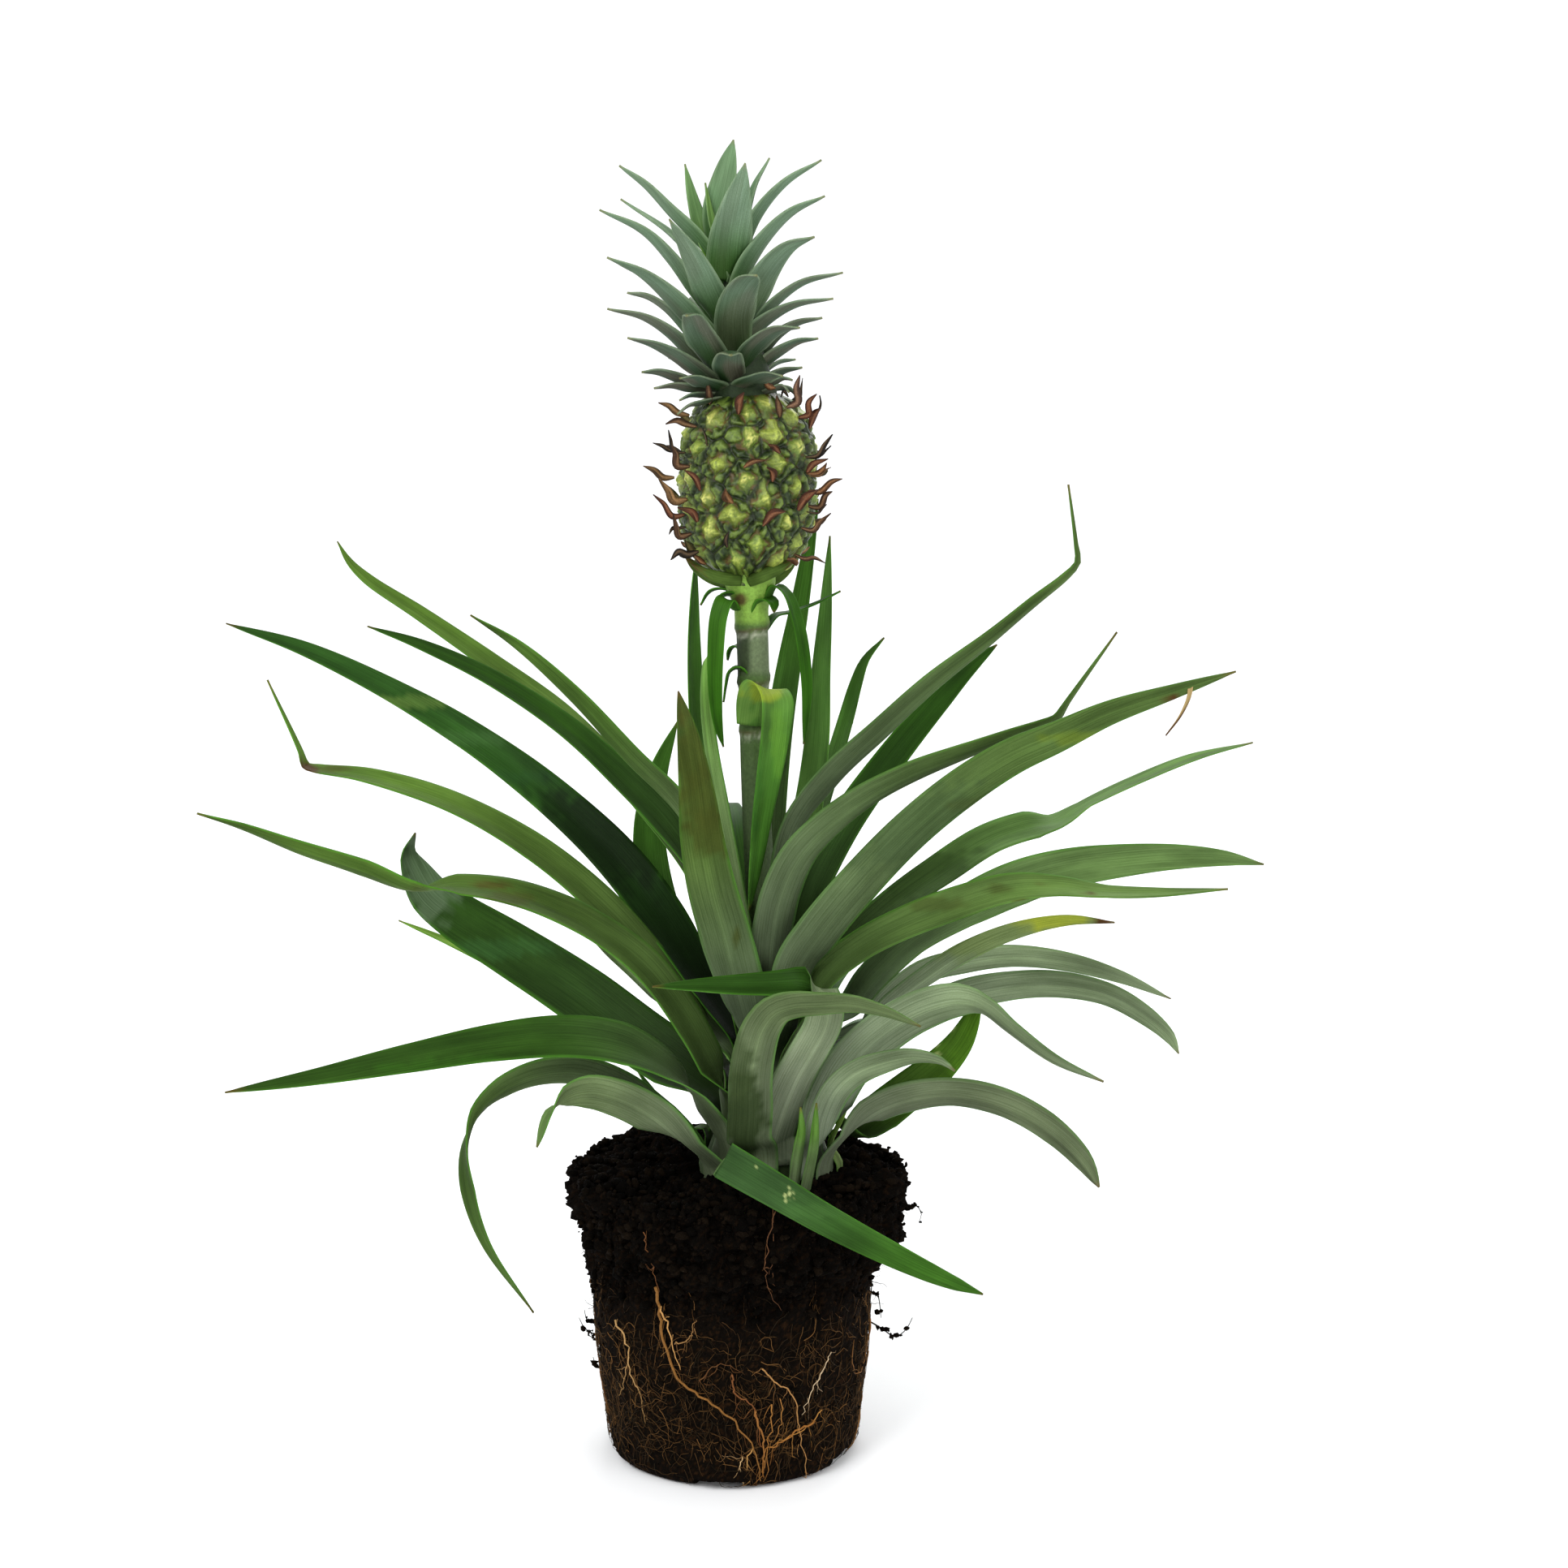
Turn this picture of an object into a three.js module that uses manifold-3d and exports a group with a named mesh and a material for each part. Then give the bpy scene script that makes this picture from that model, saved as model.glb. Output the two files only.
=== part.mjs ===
// A small ornamental pineapple plant lifted out of its pot: a root ball that keeps the pot's shape, a rosette of
// long channelled leaves on a short stem, and a flower stalk that carries one fruit with its leafy crown.
// Units are millimetres, +Z is up, the front is -Y, and the origin is the middle of the root ball's flat base.
import * as THREE from "three";
import { mergeVertices } from "three/addons/utils/BufferGeometryUtils.js";
import Module from "manifold-3d";

const wasm = await Module();
wasm.setup();
const { Manifold, Mesh: SolidMesh } = wasm;

// Root ball, moulded by a 12 cm pot
const BALL_HEIGHT = 106;
const BALL_BASE_RADIUS = 44.5;
const BALL_WAIST_RADIUS = 52; // just under the loose soil
const BALL_TOP_RADIUS = 57.5; // the loose soil bulges out past the pot's line
const BALL_LOOSE_FROM = 72; // height where the loose soil starts
const BALL_FOOT_ROUND = 5; // rounding of the bottom edge
const BALL_SIDES = 34;
const SOIL_HOLE_RADIUS = 33;
const SOIL_HOLE_FLOOR = 93;
const FOOT_NOTCHES = 5; // prints of the pot's drain slots in the bottom edge
const FOOT_NOTCH = { wide: 18, tall: 3, deep: 9 };

// Short stem and flower stalk
const STEM_X = 13; // the plant stands a little right of the ball's middle
const STEM_FOOT_Z = SOIL_HOLE_FLOOR + 0.3;
const STEM_FOOT_RADIUS = 29.5;
const STEM_SHOULDER_Z = 158;
const STALK_RADIUS = 5.4;
const STALK_TOP_Z = 316;
const STALK_SIDES = 12;

// Fruit and crown
const FRUIT_BASE_Z = 317;
const FRUIT_HEIGHT = 67;
const FRUIT_RADIUS = 25.3;
const FRUIT_X = 5.2;
const FRUIT_LEAN = 1.5; // degrees, to the right
const FRUIT_EYES = 74;
const CROWN_BASE_Z = FRUIT_BASE_Z + FRUIT_HEIGHT + 0.4;
const CROWN_CORE_HEIGHT = 52;
const CROWN_CORE_RADIUS = 13;
const CROWN_X = 4;
const CROWN_LEAN = -3; // degrees, to the left
const CROWN_CUP = 0.26; // depth of a blade's channel as a share of its width
const CROWN_TURN = 24; // degrees that a blade at the side shows of its lower face
const CROWN_HANG = 0.36; // how far its middle hangs below its near edge, as a share of its width

// Leaves
const LEAF_THICK = 0.9;
const EDGE_THICK = 0.6;
const LEAF_GAP = 0.32; // clearance between neighbouring blades
const SHEATH_HALF_ANGLE = 20; // degrees of the stem's circle that a leaf base covers to each side
const SHEATH_PITCH = 1.02; // from one layer of leaf bases to the next
const SHEATH_HEIGHT = 16; // from a leaf's seat to the first point of its path
const OUTER_SEAT_RADIUS = 22; // leaves that start at soil level are seated here or further out
const STRAIGHT_ANGLE = 7; // degrees of bend that a facet may leave out
const LONGEST_STEP = 44; // longest facet along a leaf
const GOLDEN_ANGLE = 137.508;

// Leaf points are given as they are seen from this eye point: x and z where the line of sight crosses the plane of
// the stem (y = 0), and y as the point's own depth. In front of the stem y is negative.
const EYE = new THREE.Vector3(19, -950, 380);

const rad = THREE.MathUtils.degToRad;
const clamp = THREE.MathUtils.clamp;
const vec = (x, y, z) => new THREE.Vector3(x, y, z);

// A repeatable random number from 0 to 1 for a whole number
function chance(seed) {
  const wave = Math.sin(seed * 127.1 + 311.7) * 43758.5453;
  return wave - Math.floor(wave);
}

function seen(x, z, y) {
  return EYE.clone().lerp(vec(x, 0, z), (y - EYE.y) / -EYE.y);
}

// The depth that puts a seen x on the upright plane through the stem at a bearing
function depthOnBearing(x, bearing) {
  const [c, s] = [Math.cos(rad(bearing)), Math.sin(rad(bearing))];
  const share = (-EYE.y * c + (EYE.x - STEM_X) * s) / (-EYE.y * c - (x - EYE.x) * s);
  return EYE.y - share * EYE.y;
}

// Closed solids

function solidFrom(geometry) {
  const bare = geometry.clone();
  bare.deleteAttribute("normal");
  bare.deleteAttribute("uv");
  const merged = mergeVertices(bare, 1e-4);
  const vertProperties = merged.attributes.position.array;
  const triVerts = new Uint32Array(merged.index.array);
  const solid = new Manifold(new SolidMesh({ numProp: 3, vertProperties, triVerts }));
  if (solid.volume() >= 0) return solid;
  return new Manifold(new SolidMesh({ numProp: 3, vertProperties, triVerts: triVerts.reverse() })); // faces turned out
}

function geometryOf(solid) {
  const mesh = solid.getMesh();
  const points = new Float32Array(mesh.numVert * 3);
  for (let i = 0; i < mesh.numVert; i++) {
    points.set(mesh.vertProperties.subarray(i * mesh.numProp, i * mesh.numProp + 3), i * 3);
  }
  const made = new THREE.BufferGeometry().setAttribute("position", new THREE.BufferAttribute(points, 3));
  made.setIndex(new THREE.BufferAttribute(mesh.triVerts, 1));
  return made;
}

function largestPiece(solid) {
  return solid.decompose().reduce((a, b) => (b.volume() > a.volume() ? b : a));
}

// A closed loft through rings of points, all with the same count. Rings turn so that the outside faces out.
function loft(rings) {
  const count = rings[0].length;
  const points = rings.flat();
  const faces = [];
  for (let r = 0; r + 1 < rings.length; r++) {
    for (let i = 0; i < count; i++) {
      const [a, b] = [r * count + i, r * count + ((i + 1) % count)];
      faces.push(a, b, b + count, a, b + count, a + count);
    }
  }
  const last = (rings.length - 1) * count;
  for (let i = 1; i + 1 < count; i++) {
    faces.push(0, i + 1, i, last, last + i, last + i + 1);
  }
  return loftGeometry(points, faces);
}

function loftGeometry(points, faces) {
  const flat = new Float32Array(points.flatMap((p) => [p.x, p.y, p.z]));
  const made = new THREE.BufferGeometry().setAttribute("position", new THREE.BufferAttribute(flat, 3));
  made.setIndex(faces);
  return made;
}

// Piecewise-linear reading of a list of values spread evenly from 0 to 1
function readAlong(values, t) {
  const at = clamp(t, 0, 1) * (values.length - 1);
  const i = Math.min(Math.floor(at), values.length - 2);
  return values.length === 1 ? values[0] : THREE.MathUtils.lerp(values[i], values[i + 1], at - i);
}

// Blades

// Stations along a curve: its control points, less those that lie on a nearly straight stretch
function stationsOf(curve) {
  const points = curve.points;
  const spans = points.length - 1;
  const kept = [0, 1];
  for (let i = 2; i < spans; i++) {
    const before = points[i].clone().sub(points[kept.at(-1)]);
    const after = points[i + 1].clone().sub(points[i]);
    const straight = before.angleTo(after) < rad(STRAIGHT_ANGLE);
    if (!straight || before.length() + after.length() > LONGEST_STEP) kept.push(i);
  }
  return [...kept, spans].map((i) => i / spans);
}

// Cross-sections of a channelled blade: three points on the upper face and three on the lower.
// side is the direction across the blade at its root, fit grows the blade by a clearance on every side.
function bladeSolid({ curve, side, widthAt, cupAt, turnAt, fit = 0 }) {
  const stations = stationsOf(curve);
  const across = side.clone();
  let before = curve.getTangent(0);
  const rings = stations.map((t, i) => {
    const along = curve.getTangent(t);
    across.applyQuaternion(new THREE.Quaternion().setFromUnitVectors(before, along));
    across.addScaledVector(along, -across.dot(along)).normalize();
    before = along;
    const wide = across.clone().applyAxisAngle(along, rad(turnAt(t)));
    const up = along.clone().cross(wide);
    const half = widthAt(t, curve.getPoint(t)) / 2 + fit;
    const cup = 2 * half * cupAt(t);
    const reach = i === 0 ? -fit : i === stations.length - 1 ? fit : 0;
    const mid = curve.getPoint(t).addScaledVector(along, reach);
    const spot = (w, lift) => mid.clone().addScaledVector(wide, w).addScaledVector(up, lift);
    const rib = THREE.MathUtils.lerp(EDGE_THICK, LEAF_THICK, Math.min(1, 4 * t)) / 2 + fit;
    const edge = EDGE_THICK / 2 + fit;
    return [
      spot(-half, cup + edge), spot(0, rib), spot(half, cup + edge),
      spot(half, cup - edge), spot(0, -rib), spot(-half, cup - edge),
    ];
  });
  return solidFrom(bladeSkin(rings));
}

// The skin of a blade is split into triangles alike on both faces, so that a waved blade never crosses itself
function bladeSkin(rings) {
  const faces = [];
  for (let r = 0; r + 1 < rings.length; r++) {
    for (let i = 0; i < 6; i++) {
      const [a, b] = [r * 6 + i, r * 6 + ((i + 1) % 6)];
      const [c, d] = [b + 6, a + 6];
      if (i === 3 || i === 4) faces.push(a, b, d, b, c, d);
      else faces.push(a, b, c, a, c, d);
    }
  }
  const last = (rings.length - 1) * 6;
  const cap = [0, 1, 5, 1, 4, 5, 1, 2, 4, 2, 3, 4];
  for (let k = 0; k < cap.length; k += 3) {
    const [p, q, s] = [cap[k], cap[k + 1], cap[k + 2]];
    faces.push(p, s, q, last + p, last + q, last + s);
  }
  return loftGeometry(rings.flat(), faces);
}

// Root ball

function soilBulge(angle, z) {
  const loose = THREE.MathUtils.smoothstep(z, BALL_LOOSE_FROM - 4, BALL_LOOSE_FROM + 8);
  const lumps = 0.9 * Math.sin(3 * angle + 0.07 * z) + 0.7 * Math.sin(7 * angle - 0.11 * z + 1);
  const crumbs = 1.3 * Math.sin(11 * angle + 2) * Math.sin(0.35 * z) + 1.1 * Math.sin(17 * angle + 0.2 * z);
  const rightSide = 4 * Math.max(0, Math.cos(angle + 0.15)) ** 3;
  return lumps * 0.6 + loose * (crumbs + rightSide);
}

function ballRadius(z) {
  const side = THREE.MathUtils.lerp(BALL_BASE_RADIUS + 1, BALL_WAIST_RADIUS, clamp(z / BALL_LOOSE_FROM, 0, 1));
  const loose = THREE.MathUtils.smoothstep(z, BALL_LOOSE_FROM - 2, BALL_LOOSE_FROM + 12);
  const foot = z < BALL_FOOT_ROUND ? BALL_FOOT_ROUND * (1 - Math.sqrt(1 - (1 - z / BALL_FOOT_ROUND) ** 2)) : 0;
  return side + loose * (BALL_TOP_RADIUS - BALL_WAIST_RADIUS) - foot;
}

function soilTop(angle, share) {
  const lumps = 1.6 * Math.sin(5 * angle + 3 * share) + 1.2 * Math.sin(9 * angle - 2 * share + 1);
  return BALL_HEIGHT + lumps * (0.4 + 0.6 * share) - 2.5 * share ** 4;
}

function ringAt(radiusAt, zAt, middle = vec(0, 0, 0)) {
  return Array.from({ length: BALL_SIDES }, (_, i) => {
    const angle = (i / BALL_SIDES) * 2 * Math.PI;
    const r = radiusAt(angle);
    return vec(middle.x + r * Math.cos(angle), middle.y + r * Math.sin(angle), zAt(angle));
  });
}

function rootBallSolid() {
  const side = [0, 1.2, BALL_FOOT_ROUND, 18, 32, 46, 60, 70, 77, 84, 91, 98];
  const rings = side.map((z) => ringAt((a) => ballRadius(z) + (z < 1 ? 0 : soilBulge(a, z)), () => z));
  const rim = ballRadius(BALL_HEIGHT);
  for (const share of [1, 0.86]) {
    const radiusAt = (a) => (rim - 1.5 + soilBulge(a, BALL_HEIGHT)) * share;
    rings.push(ringAt(radiusAt, (a) => soilTop(a, share)));
  }
  const lip = vec(STEM_X * 0.9, 0, 0);
  rings.push(ringAt(() => SOIL_HOLE_RADIUS - 9, () => BALL_HEIGHT - 1.5, lip));
  const ball = solidFrom(loft(rings));
  const hole = new THREE.CylinderGeometry(SOIL_HOLE_RADIUS, SOIL_HOLE_RADIUS - 1, 60, 28);
  hole.rotateX(Math.PI / 2).translate(STEM_X, 0, SOIL_HOLE_FLOOR + 30);
  let made = ball.subtract(solidFrom(hole));
  for (const notch of footNotches()) made = made.subtract(notch);
  for (const root of surfaceRoots()) made = made.add(root);
  return largestPiece(made);
}

function footNotches() {
  return Array.from({ length: FOOT_NOTCHES }, (_, i) => {
    const { wide, tall, deep } = FOOT_NOTCH;
    const box = new THREE.BoxGeometry(2 * deep, wide, 2 * tall).translate(BALL_BASE_RADIUS, 0, 0);
    return solidFrom(box.rotateZ(rad(-95 + (360 * i) / FOOT_NOTCHES)));
  });
}

// The thickest roots lie on the lower side of the ball. Each wanders down from a start angle.
function surfaceRoots() {
  const count = 9;
  return Array.from({ length: count }, (_, k) => {
    const start = (k / count) * 2 * Math.PI + 0.3 * chance(k);
    const rings = [];
    const steps = 5;
    for (let i = 0; i <= steps; i++) {
      const t = i / steps;
      const z = 58 - 20 * chance(k + 20) - (34 + 8 * chance(k + 40)) * t;
      const angle = start + (chance(k + 60) - 0.4) * 0.9 * t + 0.05 * Math.sin(5 * t + k);
      const out = ballRadius(z) + soilBulge(angle, z) + 0.1;
      const thick = 1.3 * (1 - 0.5 * t);
      const middle = vec(out * Math.cos(angle), out * Math.sin(angle), z);
      const away = vec(Math.cos(angle), Math.sin(angle), 0);
      const aside = vec(-away.y, away.x, 0);
      rings.push([
        middle.clone().addScaledVector(away, thick),
        middle.clone().addScaledVector(away, -thick * 1.6).addScaledVector(aside, thick),
        middle.clone().addScaledVector(away, -thick * 1.6).addScaledVector(aside, -thick),
      ]);
    }
    return solidFrom(loft(rings));
  });
}

// Stem, stalk and the small bracts that grow on it

const stalkCurve = new THREE.CatmullRomCurve3(
  [vec(STEM_X, 0, 150), vec(10.6, 0, 200), vec(8.8, 0, 250), vec(8.1, 0, 290), vec(7.0, 0, STALK_TOP_Z)],
);

function stalkAt(z) {
  const t = clamp((z - 150) / (STALK_TOP_Z - 150), 0, 1);
  return stalkCurve.getPoint(t);
}

// Radius of the short stem where the leaf bases are seated, from its foot to its shoulder
function stemRadius(z) {
  const t = clamp((z - STEM_FOOT_Z) / (STEM_SHOULDER_Z - STEM_FOOT_Z), 0, 1);
  return THREE.MathUtils.lerp(STEM_FOOT_RADIUS, STALK_RADIUS, t);
}

function seatHeight(radius) {
  const t = (STEM_FOOT_RADIUS - radius) / (STEM_FOOT_RADIUS - STALK_RADIUS);
  return THREE.MathUtils.lerp(STEM_FOOT_Z, STEM_SHOULDER_Z, t);
}

function roundRing(middle, radius, sides) {
  return Array.from({ length: sides }, (_, i) => {
    const angle = (i / sides) * 2 * Math.PI;
    return vec(middle.x + radius * Math.cos(angle), middle.y + radius * Math.sin(angle), middle.z);
  });
}

function stemSolid() {
  const rings = [STEM_FOOT_Z, 108, 124, 140, STEM_SHOULDER_Z].map((z) =>
    roundRing(vec(STEM_X, 0, z), stemRadius(z) - 0.4, STALK_SIDES * 2),
  );
  const cone = solidFrom(loft(rings));
  const joints = [266, 283, 302]; // the leaf scars show as low rings
  const heights = [152, 175, 200, 225, 250, 264, 266, 275, 282, 284, 293, 301, 303, 310, STALK_TOP_Z];
  const stalk = heights.map((z) => {
    const swell = joints.some((j) => Math.abs(z - j) <= 2) ? 0.5 : 0;
    const middle = stalkAt(z);
    return roundRing(vec(middle.x, middle.y, z), STALK_RADIUS + swell, STALK_SIDES);
  });
  let made = cone.add(solidFrom(loft(stalk)));
  for (const bract of SMALL_BRACTS) made = made.add(bractSolid(bract));
  return largestPiece(made);
}

// A bract clasps the stalk at its root, stands off it and hangs. Fused ones start inside the stalk.
const SMALL_BRACTS = [
  { bearing: 40, width: 5, path: [[12, 300, 2], [16, 305.5, 6], [22, 307, 10], [30, 310, 13], [39, 314.5, 15]] },
  { bearing: 160, width: 5, path: [[5, 311, 1], [-1.5, 315, 3], [-5.5, 315, 5], [-8, 313.5, 6], [-10.5, 309.5, 6]] },
  { bearing: 190, width: 8, path: [[7, 281, -1], [3, 287, -2], [0, 286, -2], [-1.5, 281, -2], [-2.5, 275, -2]] },
  { bearing: 150, width: 6, path: [[7, 290, 2], [2, 295, 4], [0, 293.5, 5], [-1, 290, 6]] },
  { bearing: 200, width: 9, path: [[6, 307, -1], [0, 313, -2], [-3.4, 312, -2], [-4, 308, -2]] },
  { bearing: 330, width: 8, path: [[9, 303, -2], [12, 311.5, -5], [15, 310.5, -7], [15.5, 307, -8]] },
];

// Long bracts hang from the stalk as leaves of their own. They start just clear of it.
const LONG_BRACTS = [
  { name: "bract_left", bearing: 215, width: 7, turn: [0, 0, 10, 30, 40],
    path: [[1.2, 308, -4], [-1.5, 311.3, -9], [-3.8, 306, -11.5], [-5.2, 292, -12.5], [-5.3, 276, -12.5],
      [-4.3, 266, -12], [-2.6, 259, -11]] },
  { name: "bract_front", bearing: 285, width: 14, turn: [0],
    path: [[8.6, 266.5, -6.6], [9.8, 275, -8.2], [12.5, 279.5, -13], [15.5, 276, -18], [15.3, 266, -19.5],
      [13.2, 250, -20], [10.8, 234, -20], [8.6, 216, -19.5], [6.5, 200, -18.5]] },
  { name: "bract_right", bearing: 330, width: 6.5, turn: [0, 0, 20, 40, 30],
    path: [[13.5, 311, -3.4], [16, 316, -5], [20, 313, -7], [23.4, 304, -9], [25.6, 294, -10],
      [27, 280, -11], [26.6, 269, -11], [26, 260, -11]] },
];

function bractCurve(bract) {
  return new THREE.CatmullRomCurve3(bract.path.map(([x, z, y]) => seen(x, z, y)), false, "centripetal");
}

function bractSolid(bract, fit = 0) {
  const bearing = rad(bract.bearing);
  return bladeSolid({
    curve: bractCurve(bract),
    side: vec(-Math.sin(bearing), Math.cos(bearing), 0),
    widthAt: (t) => Math.max(0.8, bract.width * Math.pow(1 - t ** 2.2, 0.75) * (0.75 + 0.25 * Math.min(1, t * 5))),
    cupAt: (t) => 0.14 * (1 - 0.6 * t),
    turnAt: (t) => readAlong(bract.turn ?? [0], t) * Math.sign(Math.cos(bearing) || 1),
    fit,
  });
}

// Rosette leaves, from the innermost to the outermost. bearing is the way a leaf leaves the stem, in degrees from
// the right, anticlockwise from above. Each path point is [x, z] on the leaf's upright plane, or [x, z, y].
// turn rolls the upper face towards the front, in degrees, spread evenly along the path.
const LEAVES = [
  { bearing: 75, width: 11.5, turn: [0],
    path: [[13, 205, 13], [15, 238, 19], [18, 268, 24], [21.3, 290, 28], [24.5, 308, 31], [28, 330, 33], [31, 347, 34]] },
  { bearing: 140, width: 11.5, turn: [0],
    path: [[0, 200, 12], [-6, 228, 17], [-10.5, 254, 20], [-12.8, 275, 21], [-13.4, 295, 21], [-13, 312, 20],
      [-12.2, 326, 19]] },
  { bearing: 55, width: 14, turn: [0],
    path: [[20, 198, 20], [25, 218, 27], [29, 240, 32], [31.5, 262, 35], [32.6, 285, 37], [34, 308, 38],
      [35.2, 334, 38]] },
  { bearing: 225, width: 8, turn: [0],
    path: [[5, 185, -5], [0.5, 212, -6.5], [-4, 238, -7], [-7.2, 256, -6.5], [-8.8, 270, -5.5], [-9.2, 281, -4],
      [-8.4, 290, -1], [-6, 292.3, 4], [-5, 288, 7]] },
  { bearing: 48, width: 10, turn: [0],
    path: [[25, 205, 32], [32, 235, 44], [38, 256, 51], [42.2, 271, 55], [44.8, 281, 58], [48, 290, 61],
      [54.5, 298, 64]] },
  { bearing: 335, width: 12, full: 1.7, turn: [-40, -35, -25, -15, -10, -10],
    path: [[17, 200, -14], [22.5, 229, -18], [35.5, 247.5, -23], [53.5, 264.5, -29], [72, 281.5, -34],
      [92.5, 297.5, -39], [108, 310.5, -43], [119, 319.5, -46], [123, 324.5, -47], [122.2, 331, -47.5], [119, 352, -48]] },
  { bearing: 305, width: 15, full: 2.2, turn: [-30, -20, -5, 5, 5, 5, 0],
    path: [[14, 178, -21], [15, 190, -24], [18, 205, -29], [26, 221, -36], [45, 238, -39], [63, 248, -41],
      [81.5, 255.5, -43], [99.5, 262, -45], [112, 266.5, -46], [116.3, 269, -46.5], [120, 275, -47], [137, 300, -48]] },
  { bearing: 235, width: 24, full: 3.4, turn: [-35, -45, -45, -40],
    path: [[6, 158, -22], [1.5, 175, -26], [-2.5, 191, -31], [-7, 208, -36], [-10.3, 226, -40], [-12.2, 243, -43],
      [-15, 262, -45], [-18.6, 279, -46]] },
  { bearing: 105, width: 14, turn: [0],
    path: [[7, 185, 23], [4, 212, 38], [1, 230, 56], [0, 238, 76], [-1, 238, 94]] },
  { bearing: 200, width: 10, full: 2.2, turn: [-45, -55, -55, -50],
    path: [[-7, 212], [-18, 237], [-35, 255], [-55, 277], [-75, 295], [-92, 306]] },
  { bearing: 35, width: 15, turn: [30, 35, 35, 40],
    path: [[24.5, 180, 5], [28, 203, 7], [40, 229, 14], [57, 254, 24], [75, 276.5, 33], [86, 288.5, 38],
      [94.5, 295.5, 42]] },
  { bearing: 157, width: 14.5, full: 1.9, turn: [35, 35, 40, 45, 45],
    path: [[-10, 208], [-20, 227], [-40, 249], [-60, 267], [-85, 283.5], [-110, 295.5], [-128.5, 302]] },
  { bearing: 82, width: 14, turn: [0],
    path: [[18.5, 180, 31], [21, 212, 49], [24, 229, 70], [28, 236, 98], [31, 234, 122]] },
  { bearing: 66, width: 6, turn: [0],
    path: [[21, 185, 36], [28, 218, 54], [34, 243, 67], [37.8, 256, 74], [43.5, 268, 80]] },
  { bearing: 142, width: 11.5, full: 1.6, turn: [40, 40, 35, 35],
    path: [[-10, 205], [-30, 237], [-58, 268.5], [-85, 289], [-110, 306.5], [-128, 318.5], [-134.5, 325], [-138.5, 332]] },
  { bearing: 325, width: 18, turn: [-35, -45, -55, -60, -60, -60],
    path: [[21.5, 160, -23], [24, 178, -27], [31.5, 190, -31], [45, 207, -37], [63, 226.5, -44], [81.5, 242.5, -50],
      [99.5, 254.5, -55], [117, 262.5, -59], [135, 271, -62], [157, 278.5, -65], [179.5, 286, -67]] },
  { bearing: 152, width: 19.5, full: 2.3, turn: [45, 45, 45, 50, 50],
    path: [[-9, 168], [-24, 195], [-40, 217], [-60, 237], [-85, 257], [-115, 276], [-150, 293.5], [-178.5, 303]] },
  { bearing: 120, width: 14, turn: [0],
    path: [[4, 165, 27], [-1, 195, 45], [-8, 220, 70], [-13, 231, 95], [-17, 232, 118]] },
  { bearing: 113, width: 17, turn: [10],
    path: [[-10, 160, 24], [-21, 185, 37], [-28, 210, 46], [-29.5, 232, 50], [-26, 250, 52], [-19, 268, 53]] },
  { bearing: 30, width: 16.5, turn: [12, 20, 25, 32, 42, 12, -5, 5, 20, 20],
    path: [[36, 176], [47, 190], [60, 202], [75, 213], [92, 224.5], [107, 230], [117, 231.5], [127, 237.5],
      [146, 247], [165, 255], [186, 260.5]] },
  { bearing: 170, width: 14, full: 2.4, turn: [30, 35, 40, 42, 35, 25, 15, 10, 10, 10],
    path: [[-8, 148], [-15, 160], [-30, 183], [-50, 205], [-72, 223], [-100, 238.5], [-130, 248], [-148, 250.6],
      [-152, 252], [-153.5, 257], [-164.5, 283]] },
  { bearing: 92, width: 14, turn: [0],
    path: [[12, 155, 31], [13, 183, 52], [14, 202, 85], [15, 206, 120], [16, 200, 150], [17, 190, 175]] },
  { bearing: 22, width: 20, turn: [10, 15, 30, 60, 60, 60, 60, 55, 40],
    path: [[43, 162], [52, 173.5], [65, 186.5], [82, 198], [102, 209], [120, 214.5], [140, 217.5], [160, 219],
      [178, 218.5], [191, 216.5]] },
  { bearing: 342, width: 15, turn: [45, 50, 55, 60, 55, 40, 25, 30, 30],
    path: [[26.5, 157, -21], [33, 173.5, -23], [46.5, 185.5, -25], [63, 194.5, -29], [82, 202, -33], [100, 207.3, -37],
      [116, 208, -40], [135, 206, -43], [155, 206, -46], [178.5, 207.5, -49]] },
  { bearing: 130, width: 14, turn: [0],
    path: [[2, 150, 28], [-6, 172, 52], [-13, 184, 82], [-19, 186, 112], [-24, 181, 140], [-28, 172, 165]] },
  { bearing: 212, width: 15.5, turn: [60, 65, 60, 50, 45, 42, 35, -15, -35, -35, -30, -20],
    path: [[-2, 130, -26], [-9, 144, -29], [-17, 159, -33], [-32, 179.5, -39], [-50, 193, -45], [-65, 200.5, -50],
      [-80, 205.5, -55], [-98, 208, -60], [-114, 207.3, -64], [-132, 214.5, -68], [-155, 222.3, -72],
      [-175, 230, -75], [-191, 235, -77]] },
  { bearing: 62, width: 14, turn: [0],
    path: [[24, 145, 30], [33, 168, 55], [42, 180, 88], [50, 182, 120], [57, 176, 150]] },
  { bearing: 158, width: 13, turn: [-55, -60, -60, -40],
    path: [[-12, 150], [-22, 162.5], [-36, 177], [-46, 187], [-50, 192.5], [-45, 197], [-38.5, 198]] },
  { bearing: 3, width: 10.5, turn: [-45, -60, -80, -85, -85, -80],
    path: [[44, 155, -2], [58, 165.5, -3], [68.5, 173.5, -4], [84, 184, -5], [102, 192, -6], [121, 196, -7],
      [138, 195.3, -8]] },
  { bearing: 146, width: 25, turn: [30, 40, 55, 60, 60, 50, 20, 0, 0],
    path: [[-8, 132], [-20, 141.5], [-35, 153], [-55, 169], [-78, 184.5], [-97, 196.5], [-108, 205], [-113.5, 214],
      [-116, 221], [-113, 228]] },
  { bearing: 105, width: 14, turn: [0],
    path: [[8, 135, 34], [5, 152, 66], [2, 156, 100], [-1, 148, 135], [-4, 134, 160]] },
  { bearing: 12, width: 13, turn: [-45, -65, -70, -70, -75, -80, -80],
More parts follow.
